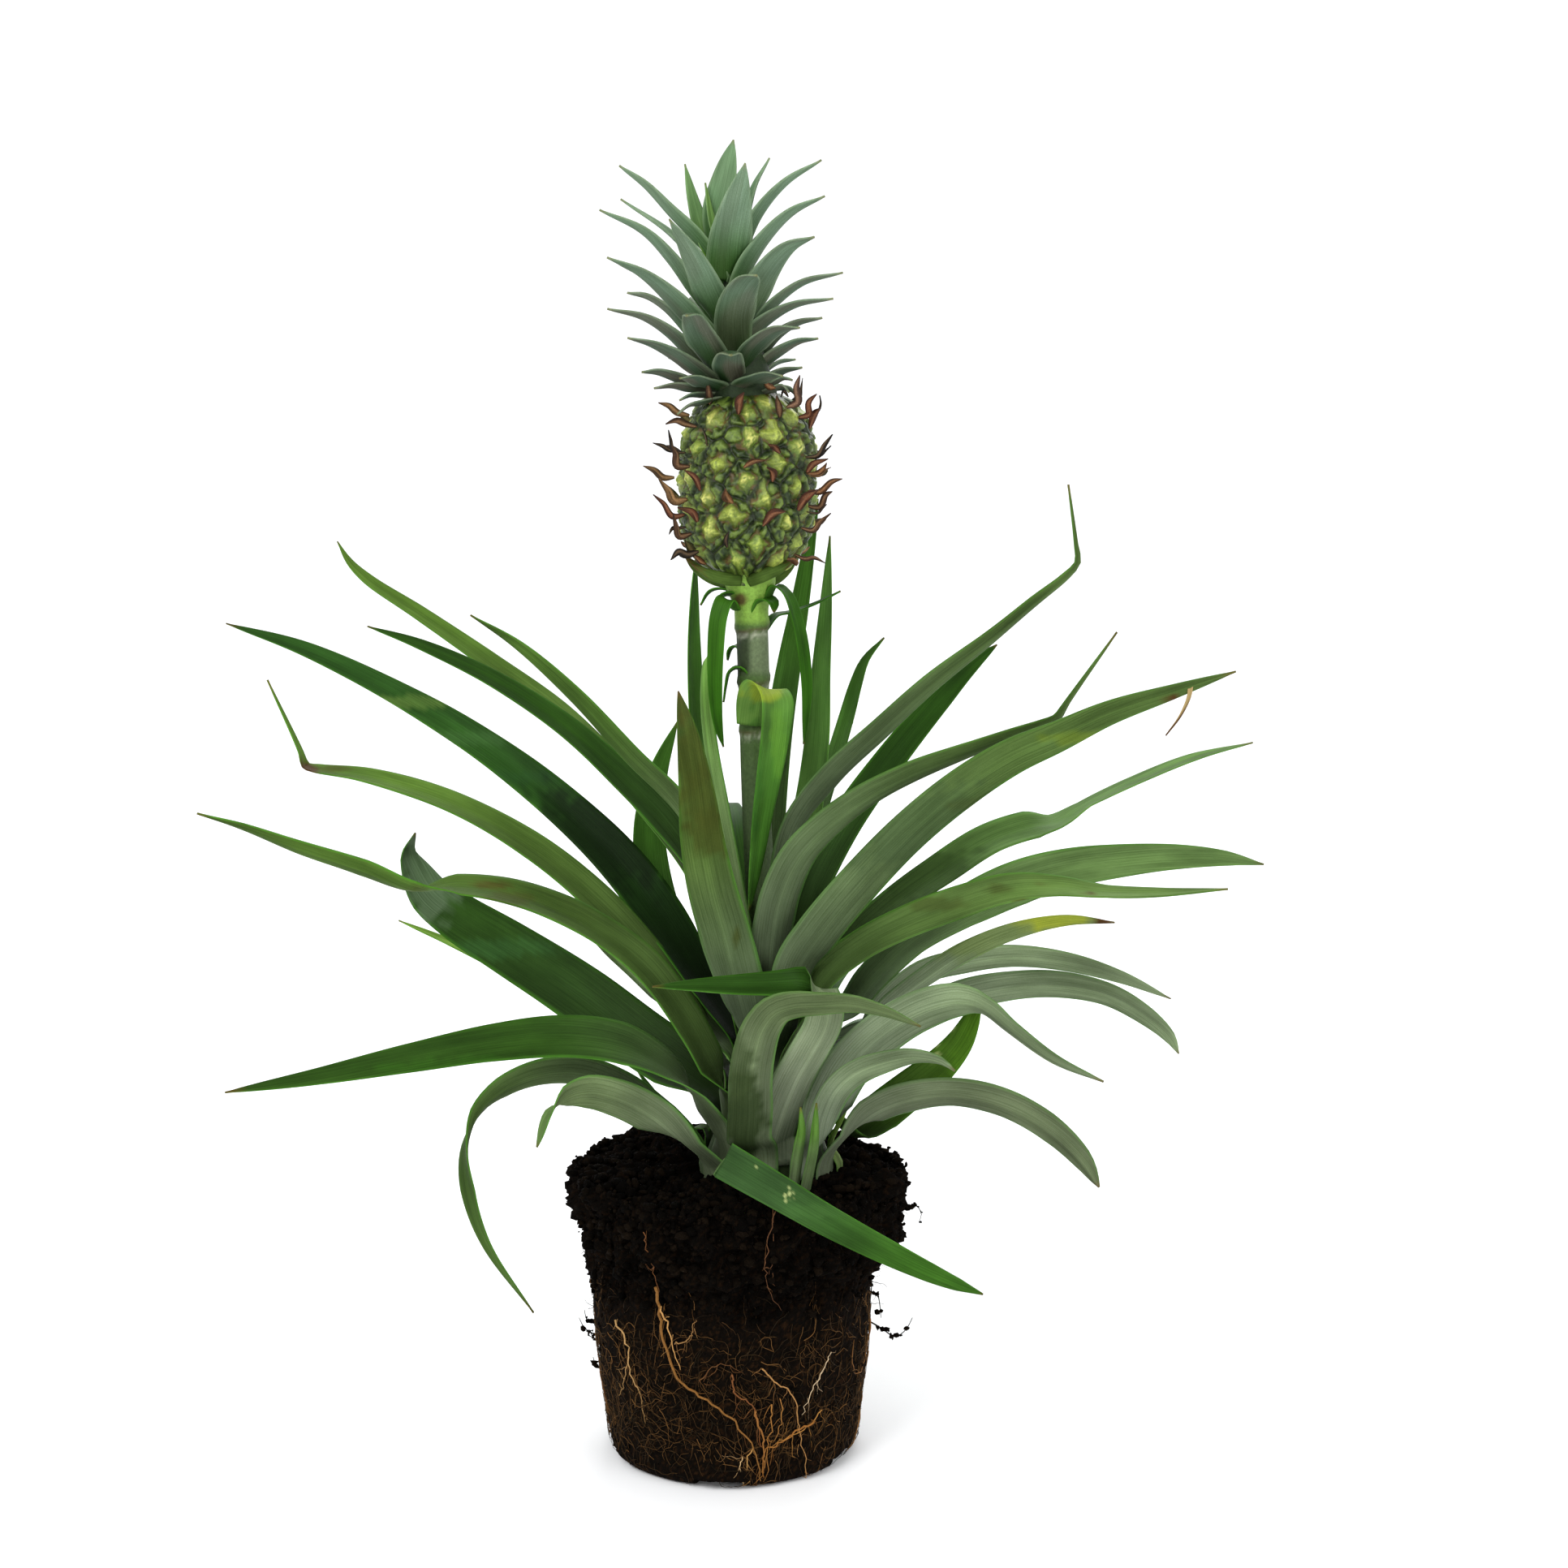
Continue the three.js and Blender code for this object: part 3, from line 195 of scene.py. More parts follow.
def make_piece(name, verts, faces, material, node=None, slot=None, **layers):
    """A smooth mesh piece from points in millimetres. layers are per-point values that its material reads."""
    mesh = bpy.data.meshes.new(name)
    mesh.from_pydata((np.asarray(verts, dtype=float) * MM).tolist(), [], faces)
    for key, values in layers.items():
        values = np.asarray(values, dtype=np.float32)
        if values.ndim == 2:
            colour = np.ones((len(values), 4), dtype=np.float32)
            colour[:, :3] = values
            mesh.color_attributes.new(key, "FLOAT_COLOR", "POINT").data.foreach_set("color", colour.ravel())
        else:
            mesh.attributes.new(key, "FLOAT", "POINT").data.foreach_set("value", values)
    mesh.update()
    mesh.validate()
    mesh.polygons.foreach_set("use_smooth", [True] * len(mesh.polygons))
    mesh.materials.append(material)
    piece = add_object(name, mesh)
    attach(piece, "root")
    if node:
        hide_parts(node)
    return piece


def add_object(name, data):
    thing = bpy.data.objects.new(name, data)
    bpy.context.scene.collection.objects.link(thing)
    return thing


def ring_faces(rings, count, caps=0):
    """Quads between rings that follow each other in the point list, and caps on no end, the first or both."""
    faces = []
    for r in range(rings - 1):
        for i in range(count):
            j = (i + 1) % count
            faces.append((r * count + i, r * count + j, (r + 1) * count + j, (r + 1) * count + i))
    ends = (range(count - 1, -1, -1), range((rings - 1) * count, rings * count))
    return faces + [tuple(end) for end in ends[:caps]]


class Batch:
    """Points, faces and layers of many small shapes that go into one piece."""

    def __init__(self):
        self.verts = []
        self.faces = []
        self.layers = {}

    def add(self, verts, faces, **layers):
        start = len(self.verts)
        self.verts.extend(verts)
        self.faces.extend(tuple(start + i for i in f) for f in faces)
        for key, values in layers.items():
            self.layers.setdefault(key, []).extend(values)

    def add_blade(self, *shape, **words):
        verts, faces, layers = blade(*shape, **words)
        self.add(verts, faces, **layers)

    def piece(self, name, material, **words):
        return make_piece(name, self.verts, self.faces, material, **words, **self.layers)


class Curve:
    """Centripetal Catmull-Rom curve through points, read from 0 to 1 with equal shares for each span."""

    def __init__(self, points):
        self.points = [Vector(p) for p in points]

    def at(self, t):
        points = self.points
        spans = len(points) - 1
        place = clamp(t, 0, 1) * spans
        i = min(int(place), spans - 1)
        w = place - i
        b, c = points[i], points[i + 1]
        a = points[i - 1] if i > 0 else b * 2 - c
        d = points[i + 2] if i + 2 <= spans else c * 2 - b
        gaps = [max((q - p).length_squared ** 0.25, 1e-4) for p, q in ((a, b), (b, c), (c, d))]
        ab, bc, cd = gaps
        leave = ((b - a) / ab - (c - a) / (ab + bc) + (c - b) / bc) * bc
        arrive = ((c - b) / bc - (d - b) / (bc + cd) + (d - c) / cd) * bc
        return (
            b
            + leave * w
            + (c * 3 - b * 3 - leave * 2 - arrive) * w * w
            + (b * 2 - c * 2 + leave + arrive) * w ** 3
        )

    def tangent(self, t):
        low, high = max(0, t - 1e-4), min(1, t + 1e-4)
        return (self.at(high) - self.at(low)).normalized()

    def stations(self, step):
        """Shares along the curve about one step apart, with every given point among them."""
        shares = []
        spans = len(self.points) - 1
        for i in range(spans):
            parts = max(1, round((self.points[i + 1] - self.points[i]).length / step))
            shares += [(i + k / parts) / spans for k in range(parts)]
        return shares + [1.0]


def blade(curve, side, width_at, cup_at, turn_at, colour_at, step=LEAF_STEP, across=LEAF_ACROSS,
          thick=LEAF_THICK, edge=EDGE_THICK, ripple=0.0, seed=0):
    """A closed channelled blade along a curve, upper face then lower face, with its layers.

    colour_at(t, u, under, point) gives the tint at a share along, a place across from -1 to 1, and the side.
    """
    shares = curve.stations(step)
    facing = side.copy()
    before = curve.tangent(0)
    verts, tint, across_layer, along_layer, under_layer = [], [], [], [], []
    places = [2 * k / across - 1 for k in range(across + 1)]
    length = 0.0
    last = curve.at(0)
    for t in shares:
        mid = curve.at(t)
        length += (mid - last).length
        last = mid
        along = curve.tangent(t)
        facing = before.rotation_difference(along) @ facing
        facing = (facing - along * facing.dot(along)).normalized()
        before = along
        wide = Quaternion(along, math.radians(turn_at(t))) @ facing
        up = along.cross(wide)
        half = width_at(t, mid) / 2
        cup = 2 * half * cup_at(t)
        wobble = ripple * half * noise_at(length * RIPPLE_PER_MM, seed, 0.5)
        for under in (0, 1):
            for u in places[::-1] if under else places:
                lift = cup * (0.45 * abs(u) + 0.55 * u * u) + wobble * u
                body = min(lerp(thick, edge, abs(u) ** 3) / 2, 0.3 + half * 0.16)
                point = mid + wide * (half * u) + up * (lift + (-body if under else body))
                verts.append(point)
                tint.append(colour_at(t, u, under, point))
                across_layer.append(half * u)
                along_layer.append(length)
                under_layer.append(under)
    count = 2 * len(places)
    faces = [face[::-1] for face in ring_faces(len(shares), count)]
    end = (len(shares) - 1) * count
    for a in range(across):
        b, c, d = a + 1, count - 2 - a, count - 1 - a
        faces.append((a, b, c, d))
        faces.append((end + d, end + c, end + b, end + a))
    return verts, faces, {
        "tint": tint, "across": across_layer, "along": along_layer, "under": under_layer,
    }


# Materials

def new_material(name):
    material = bpy.data.materials.new(name)
    material.use_nodes = True
    nodes = material.node_tree.nodes
    nodes.clear()
    out = nodes.new("ShaderNodeOutputMaterial")
    shader = nodes.new("ShaderNodeBsdfPrincipled")
    material.node_tree.links.new(shader.outputs[0], out.inputs[0])
    return material, Graph(material.node_tree), shader


class Graph:
    """Short words for wiring shader nodes."""

    def __init__(self, tree):
        self.tree = tree

    def link(self, source, target):
        self.tree.links.new(source, target)

    def node(self, kind, inputs, output=0, **settings):
        """One output of a new node, whose inputs are linked to sockets or set to values."""
        node = self.tree.nodes.new("ShaderNode" + kind)
        for key, value in settings.items():
            setattr(node, key, value)
        for key, source in inputs.items():
            if isinstance(source, bpy.types.NodeSocket):
                self.link(source, node.inputs[key])
            else:
                node.inputs[key].default_value = source
        return node.outputs[output]

    def layer(self, name, output="Fac"):
        return self.node("Attribute", {}, output, attribute_name=name)

    def position(self):
        return self.node("NewGeometry", {}, "Position")

    def pair(self, x, y):
        return self.node("CombineXYZ", {0: x, 1: y})

    def scale(self, source, factors):
        return self.node("VectorMath", {0: source, 1: factors}, operation="MULTIPLY")

    def noise(self, vector, scale, detail, roughness=0.55):
        inputs = {"Vector": vector, "Scale": scale, "Detail": detail, "Roughness": roughness}
        return self.node("TexNoise", inputs, "Fac")

    def math(self, operation, a, b):
        return self.node("Math", {0: a, 1: b}, operation=operation)

    def share(self, a, b):
        """A blend of two values, with six tenths of the first."""
        return self.math("ADD", self.math("MULTIPLY", a, 0.6), self.math("MULTIPLY", b, 0.4))

    def remap(self, source, low, high, to_low=0.0, to_high=1.0):
        inputs = {"Value": source, "From Min": low, "From Max": high, "To Min": to_low, "To Max": to_high}
        return self.node("MapRange", inputs)

    def blend(self, factor, a, b):
        return self.node("Mix", {0: factor, 6: a, 7: b}, 2, data_type="RGBA")

    def multiply(self, colour, factors):
        inputs = {0: 1.0, 6: colour, 7: (*factors, 1)}
        return self.node("Mix", inputs, 2, data_type="RGBA", blend_type="MULTIPLY")

    def bump(self, height, strength, distance):
        return self.node("Bump", {"Height": height, "Strength": strength, "Distance": distance})


def leaf_material(name, rough=0.44, dust=0.4, vein_scale=1.0):
    """Blade with fine lengthwise veins, a satin upper face and a powdery lower face."""
    material, g, shader = new_material(name)
    under = g.layer("under")
    tint = g.layer("tint", "Color")
    lanes = g.pair(g.layer("across"), g.layer("along"))
    veins = g.noise(g.scale(lanes, (2.4 * vein_scale, 0.02, 1)), 1.0, 3)
    hairs = g.noise(g.scale(lanes, (7 * vein_scale, 0.05, 1)), 1.0, 2)
    blots = g.noise(g.scale(lanes, (0.16, 0.045, 1)), 1.0, 4)
    grain = g.noise(g.position(), 2600, 2)
    darker = g.multiply(tint, (0.64, 0.66, 0.6))
    lighter = g.multiply(tint, (1.34, 1.3, 1.36))
    veined = g.blend(g.remap(g.share(veins, blots), 0.34, 0.66), darker, lighter)
    powder = g.multiply(veined, (1.5, 1.42, 1.62))
    specks = g.remap(g.share(hairs, grain), 0.46, 0.62)
    dusting = g.math("MULTIPLY", specks, g.remap(under, 0, 1, 0.12 * dust, dust))
    relief = g.math("ADD", veins, g.math("MULTIPLY", hairs, 0.6))
    g.link(g.blend(dusting, veined, powder), shader.inputs["Base Color"])
    g.link(g.remap(under, 0, 1, rough, 0.58), shader.inputs["Roughness"])
    g.link(g.bump(relief, 0.35, 0.0004), shader.inputs["Normal"])
    shader.inputs["Specular IOR Level"].default_value = 0.04
    return material


def tinted_material(name, rough, noise_scale, noise_amount, bump, specular):
    """Surface coloured by its tint layer, with fine mottling and bump."""
    material, g, shader = new_material(name)
    tint = g.layer("tint", "Color")
    grain = g.noise(g.position(), noise_scale, 5, 0.65)
    dark = g.multiply(tint, (1 - noise_amount,) * 3)
    light = g.multiply(tint, (1 + noise_amount,) * 3)
    g.link(g.blend(g.remap(grain, 0.3, 0.7), dark, light), shader.inputs["Base Color"])
    g.link(g.bump(grain, 0.6, bump), shader.inputs["Normal"])
    shader.inputs["Roughness"].default_value = rough
    shader.inputs["Specular IOR Level"].default_value = specular
    return material


LEAF = leaf_material("leaf_blade")
BRACT = leaf_material("bract_blade", rough=0.4, dust=0.1)
CROWN = leaf_material("crown_blade", rough=0.46, dust=0.6, vein_scale=1.4)
STALK = tinted_material("stalk_skin", 0.5, 900, 0.25, 0.0002, 0.15)
FRUIT = tinted_material("fruit_skin", 0.34, 1500, 0.3, 0.0003, 0.3)
DRIED = tinted_material("dried_bract", 0.6, 1800, 0.35, 0.0002, 0.15)
SOIL = tinted_material("soil", 0.95, 1400, 0.5, 0.0006, 0.03)
ROOT = tinted_material("root", 0.7, 1200, 0.3, 0.0001, 0.1)

# bearing is the way a leaf leaves the stem, in degrees from the right, anticlockwise from above. Each point
# of its path is x and z as seen on the stem's plane, and its depth y where the bearing doesn't give it. look
# names its colours. turn rolls its upper face towards the front, in degrees, spread evenly along the path.
# A higher full keeps its width for longer before it tapers.
Leaf = namedtuple("Leaf", "bearing width path look turn full", defaults=[None, [0], 2.8])

# Rosette leaves, from the innermost to the outermost
LEAVES = [
    Leaf(75, 11.5, [(13, 205, 13), (15, 238, 19), (18, 268, 24), (21.3, 290, 28), (24.5, 308, 31),
        (28, 330, 33), (31, 347, 34)], "green"),
    Leaf(140, 11.5, [(0, 200, 12), (-6, 228, 17), (-10.5, 254, 20), (-12.8, 275, 21), (-13.4, 295, 21),
        (-13, 312, 20), (-12.2, 326, 19)], "green"),
    Leaf(55, 14, [(20, 198, 20), (25, 218, 27), (29, 240, 32), (31.5, 262, 35), (32.6, 285, 37),
        (34, 308, 38), (35.2, 334, 38)], "fresh"),
    Leaf(225, 8, [(5, 185, -5), (0.5, 212, -6.5), (-4, 238, -7), (-7.2, 256, -6.5), (-8.8, 270, -5.5),
        (-9.2, 281, -4), (-8.4, 290, -1), (-6, 292.3, 4), (-5, 288, 7)], "fresh"),
    Leaf(48, 10, [(25, 205, 32), (32, 235, 44), (38, 256, 51), (42.2, 271, 55), (44.8, 281, 58),
        (48, 290, 61), (54.5, 298, 64)], "green"),
    Leaf(335, 12, [(17, 200, -14), (22.5, 229, -18), (35.5, 247.5, -23), (53.5, 264.5, -29), (72, 281.5, -34),
        (92.5, 297.5, -39), (108, 310.5, -43), (119, 319.5, -46), (123, 324.5, -47), (122.2, 331, -47.5),
        (119, 352, -48)], "grey", [-40, -35, -25, -15, -10, -10], 1.7),
    Leaf(305, 15, [(14, 178, -21), (15, 190, -24), (18, 205, -29), (26, 221, -36), (45, 238, -39),
        (63, 248, -41), (81.5, 255.5, -43), (99.5, 262, -45), (112, 266.5, -46), (116.3, 269, -46.5),
        (120, 275, -47), (137, 300, -48)], "grey", [-30, -20, -5, 5, 5, 5, 0], 2.2),
    Leaf(235, 19, [(6, 158, -22), (1.5, 175, -26), (-2.5, 191, -31), (-7, 208, -36), (-10.3, 226, -40),
        (-12.2, 243, -43), (-15, 262, -45), (-18.6, 279, -46)], "brown_grey", [-35, -45, -45, -40], 3.4),
    Leaf(105, 14, [(7, 185, 23), (4, 212, 38), (1, 230, 56), (0, 238, 76), (-1, 238, 94)], "dark"),
    Leaf(200, 10, [(-7, 212), (-18, 237), (-35, 255), (-55, 277), (-75, 295), (-92, 306)], "dark", [-45, -55,
        -55, -50], 2.2),
    Leaf(35, 15, [(24.5, 180, 5), (28, 203, 7), (40, 229, 14), (57, 254, 24), (75, 276.5, 33),
        (86, 288.5, 38), (94.5, 295.5, 42)], "dark", [30, 35, 35, 40]),
    Leaf(157, 14.5, [(-10, 208), (-20, 227), (-40, 249), (-60, 267), (-85, 283.5), (-110, 295.5),
        (-128.5, 302)], "dark", [35, 35, 40, 45, 45], 1.9),
    Leaf(82, 14, [(18.5, 180, 31), (21, 212, 49), (24, 229, 70), (28, 236, 98), (31, 234, 122)], "dark"),
    Leaf(66, 6, [(21, 185, 36), (28, 218, 54), (34, 243, 67), (37.8, 256, 74), (43.5, 268, 80)], "pale"),
    Leaf(142, 11.5, [(-10, 205), (-30, 237), (-58, 268.5), (-85, 289), (-110, 306.5), (-128, 318.5),
        (-134.5, 325), (-138.5, 332)], "olive", [40, 40, 35, 35], 1.6),
    Leaf(325, 18, [(21.5, 160, -23), (24, 178, -27), (31.5, 190, -31), (45, 207, -37), (63, 226.5, -44),
        (81.5, 242.5, -50), (99.5, 254.5, -55), (117, 262.5, -59), (135, 271, -62), (157, 278.5, -65),
        (179.5, 286, -67)], "grey", [-35, -45, -55, -60, -60, -60]),
    Leaf(152, 19.5, [(-9, 168), (-24, 195), (-40, 217), (-60, 237), (-85, 257), (-115, 276), (-150, 293.5),
        (-178.5, 303)], "black", [45, 45, 45, 50, 50], 2.3),
    Leaf(120, 14, [(4, 165, 27), (-1, 195, 45), (-8, 220, 70), (-13, 231, 95), (-17, 232, 118)], "dark"),
    Leaf(113, 17, [(-10, 160, 24), (-21, 185, 37), (-28, 210, 46), (-29.5, 232, 50), (-26, 250, 52),
        (-19, 268, 53)], "green", [10]),
    Leaf(30, 16.5, [(36, 176), (47, 190), (60, 202), (75, 213), (92, 224.5), (107, 230), (117, 231.5),
        (127, 237.5), (146, 247), (165, 255), (186, 260.5)], "lit", [12, 20, 25, 32, 42, 12, -5, 5, 20, 20]),
    Leaf(170, 14, [(-8, 148), (-15, 160), (-30, 183), (-50, 205), (-72, 223), (-100, 238.5), (-130, 248),
        (-148, 250.6), (-152, 252), (-153.5, 257), (-164.5, 283)], "olive", [30, 35, 40, 42, 35, 25, 15, 10,
        10, 10], 2.4),
    Leaf(92, 14, [(12, 155, 31), (13, 183, 52), (14, 202, 85), (15, 206, 120), (16, 200, 150),
        (17, 190, 175)], "dark"),
    Leaf(22, 20, [(43, 162), (52, 173.5), (65, 186.5), (82, 198), (102, 209), (120, 214.5), (140, 217.5),
        (160, 219), (178, 218.5), (191, 216.5)], "ash", [10, 15, 30, 60, 60, 60, 60, 55, 40]),
    Leaf(342, 15, [(26.5, 157, -21), (33, 173.5, -23), (46.5, 185.5, -25), (63, 194.5, -29), (82, 202, -33),
        (100, 207.3, -37), (116, 208, -40), (135, 206, -43), (155, 206, -46), (178.5, 207.5, -49)], "tall",
        [45, 50, 55, 60, 55, 40, 25, 30, 30]),
    Leaf(130, 14, [(2, 150, 28), (-6, 172, 52), (-13, 184, 82), (-19, 186, 112), (-24, 181, 140),
        (-28, 172, 165)], "dark"),
    Leaf(212, 15.5, [(-2, 130, -26), (-9, 144, -29), (-17, 159, -33), (-32, 179.5, -39), (-50, 193, -45),
        (-65, 200.5, -50), (-80, 205.5, -55), (-98, 208, -60), (-114, 207.3, -64), (-132, 214.5, -68),
        (-155, 222.3, -72), (-175, 230, -75), (-191, 235, -77)], "moss", [60, 65, 60, 50, 45, 42, 35, -15,
        -35, -35, -30, -20]),
    Leaf(62, 14, [(24, 145, 30), (33, 168, 55), (42, 180, 88), (50, 182, 120), (57, 176, 150)], "green"),
    Leaf(158, 13, [(-12, 150), (-22, 162.5), (-36, 177), (-46, 187), (-50, 192.5), (-45, 197), (-38.5, 198)],
        "grey", [-55, -60, -60, -40]),
    Leaf(3, 10.5, [(44, 155, -2), (58, 165.5, -3), (68.5, 173.5, -4), (84, 184, -5), (102, 192, -6),
        (121, 196, -7), (138, 195.3, -8)], "pale", [-45, -60, -80, -85, -85, -80]),
    Leaf(146, 25, [(-8, 132), (-20, 141.5), (-35, 153), (-55, 169), (-78, 184.5), (-97, 196.5), (-108, 205),
        (-113.5, 214), (-116, 221), (-113, 228)], "reed", [30, 40, 55, 60, 60, 50, 20, 0, 0]),
    Leaf(105, 14, [(8, 135, 34), (5, 152, 66), (2, 156, 100), (-1, 148, 135), (-4, 134, 160)], "green"),
    Leaf(12, 13, [(44, 153), (55, 165), (69, 176), (85, 180.5), (102, 182.5), (121.5, 180.5), (141, 175),
        (158.7, 167.3)], "pale", [-45, -65, -70, -70, -75, -80, -80]),
    Leaf(135, 10, [(-8, 130), (-28, 145), (-55, 162), (-80, 177), (-100, 187.3), (-119.5, 196)], "lime",
        [25]),
    Leaf(291, 17, [(15.5, 114, -24.5), (19.5, 127, -29), (24, 138, -34), (29.5, 148, -39), (34, 157, -41),
        (34.8, 165, -41), (31.5, 171, -40), (26, 172.8, -38.5), (14, 172.3, -37.5), (0, 172, -39),
        (-14, 172, -43), (-28.5, 171.7, -48)], "creased", [0, 0, 0, 0, 0, 0, 90, 180, 180, 180, 180, 180]),
    Leaf(50, 14, [(27, 132, 32), (38, 149, 58), (47, 158, 88), (54, 160, 118), (60, 156, 145)], "green"),
    Leaf(272, 16, [(6.5, 114, -35), (7, 125, -39.5), (7, 136, -43), (8.5, 147, -47.5), (11.3, 156, -51),
        (16, 162, -53), (23, 164.3, -54), (31, 164.7, -55), (43, 165, -56), (55, 162.5, -57),
        (68.5, 157, -58)], "ash"),
    Leaf(17, 15, [(48, 143), (60, 153), (72, 161.5), (84, 167.5), (99, 171), (117, 172), (136, 168.3),
        (150, 160.5), (158.5, 153), (162, 147)], "pale", [-50, -70, -75, -75, -70, -65, -65, -65, -60]),
    Leaf(336, 17.5, [(31, 114, -22), (36, 129, -25), (44, 143.5, -28), (56, 155, -32), (70, 163, -36),
        (82.5, 166, -40), (91, 164, -42), (101, 156, -45), (117, 144.5, -49), (135, 136.5, -53)], "pale",
        [-60, -70, -75, -75, -65, -45, -45, -50, -50]),
    Leaf(125, 14, [(0, 128, 32), (-10, 145, 58), (-20, 153, 88), (-29, 152, 118), (-36, 144, 142)], "green"),
    Leaf(205, 20, [(-4, 113, -21), (-9, 122.5, -24.5), (-15, 133, -31), (-25, 142, -35), (-40, 149.8, -41),
        (-60, 152.8, -48), (-85, 151, -56), (-115, 145.5, -65), (-150, 138.3, -75), (-184, 132.5, -84)],
        "slate", [-10, 5, 30, 50, 55, 65, 65, 50, 50]),
    Leaf(316, 11, [(31.5, 114, -29), (33.5, 123, -32), (38, 133, -36), (45, 139.5, -40), (55, 143.5, -44),
        (66, 145.7, -48), (76, 144, -51), (81, 140.5, -53)], "pale", [-40, -60, -70, -65, -50, -40, -40]),
    Leaf(24, 16.5, [(45, 116, 15), (55, 125, 19), (65, 133.5, 23), (75, 142, 27), (82.5, 151, 31),
        (87, 160, 34), (90, 167, 36)], "split", [50, 55, 60, 60, 55, 50]),
    Leaf(337, 14, [(43, 117.5, -20), (51, 124, -23), (62, 129, -27), (78.5, 131.5, -33), (97.5, 128, -41),
        (114.5, 119, -49), (127, 107.5, -56), (134, 97, -60)], "stone", [-50, -60, -60, -65, -75, -75, -70],
        8),
    Leaf(200, 13, [(-12, 112, -16), (-25, 122.5, -20), (-40, 134, -25), (-55, 139.8, -30), (-70, 139, -34),
        (-83, 133.5, -38), (-92, 125, -40), (-96.5, 112, -42), (-96, 96, -43), (-90, 76, -42),
        (-73, 49.5, -38)], "grey", [-60, -70, -70, -65, -60, -40, 0, 40, 45, 45]),
    Leaf(225, 15, [(-17, 113.5, -31), (-29, 123.5, -38), (-41, 130, -45), (-52, 132.5, -51),
        (-60, 130.5, -55), (-66, 125, -58), (-71, 112, -61)], "ash", [-60, -75, -80, -60, 0, 40]),
    Leaf(258, 19, [(4, 114.5, -40), (0, 114.5, -52), (-3, 110.5, -62), (3, 103.5, -68), (14, 96.5, -71),
        (35, 84, -75), (59, 71, -77), (77, 62.5, -77), (92, 56.5, -76)], "bright", [0, 0, -20, -35, -35, -35,
        -35, -35]),
    Leaf(148, 5.5, [(-19, 117, 15), (-25.5, 126.5, 20), (-29.5, 133.5, 23), (-34, 140.5, 26)], "green"),
    Leaf(340, 6.5, [(36.5, 113, -7.5), (40, 122, -8.5), (43.5, 131, -10), (48, 139.5, -12)], "lime"),
    Leaf(287, 4.5, [(24.5, 112, -34), (25.5, 119, -36), (25, 127, -37.5)], "green"),
    Leaf(300, 4.5, [(30, 111.5, -35), (30.5, 120, -36.5), (30.8, 128.5, -38)], "green"),
]

# Small bracts on the stalk, and long ones that hang from it
SMALL_BRACTS = [
    Leaf(40, 5, [(12, 300, 2), (16, 305.5, 6), (22, 307, 10), (30, 310, 13), (39, 314.5, 15)], "bract"),
    Leaf(160, 5, [(5, 311, 1), (-1.5, 315, 3), (-5.5, 315, 5), (-8, 313.5, 6), (-10.5, 309.5, 6)], "bract"),
    Leaf(190, 8, [(7, 281, -1), (3, 287, -2), (0, 286, -2), (-1.5, 281, -2), (-2.5, 275, -2)], "bract"),
    Leaf(150, 6, [(7, 290, 2), (2, 295, 4), (0, 293.5, 5), (-1, 290, 6)], "bract"),
    Leaf(200, 9, [(6, 307, -1), (0, 313, -2), (-3.4, 312, -2), (-4, 308, -2)], "bract"),
    Leaf(330, 8, [(9, 303, -2), (12, 311.5, -5), (15, 310.5, -7), (15.5, 307, -8)], "bract"),
]
LONG_BRACTS = {
    "bract_left": Leaf(215, 7, [(1.2, 308, -4), (-1.5, 311.3, -9), (-3.8, 306, -11.5), (-5.2, 292, -12.5),
        (-5.3, 276, -12.5), (-4.3, 266, -12), (-2.6, 259, -11)], "bract", [0, 0, 10, 30, 40]),
    "bract_front": Leaf(285, 16.5, [(8.6, 266.5, -6.6), (9.8, 275, -8.2), (12.5, 279.5, -13),
        (15.5, 276, -18), (15.3, 266, -19.5), (13.2, 250, -20), (10.8, 234, -20), (8.6, 216, -19.5),
        (6.5, 200, -18.5)], "soft", [0]),
    "bract_right": Leaf(330, 6.5, [(13.5, 311, -3.4), (16, 316, -5), (20, 313, -7), (23.4, 304, -9),
        (25.6, 294, -10), (27, 280, -11), (26.6, 269, -11), (26, 260, -11)], "bract", [0, 0, 20, 40, 30]),
}

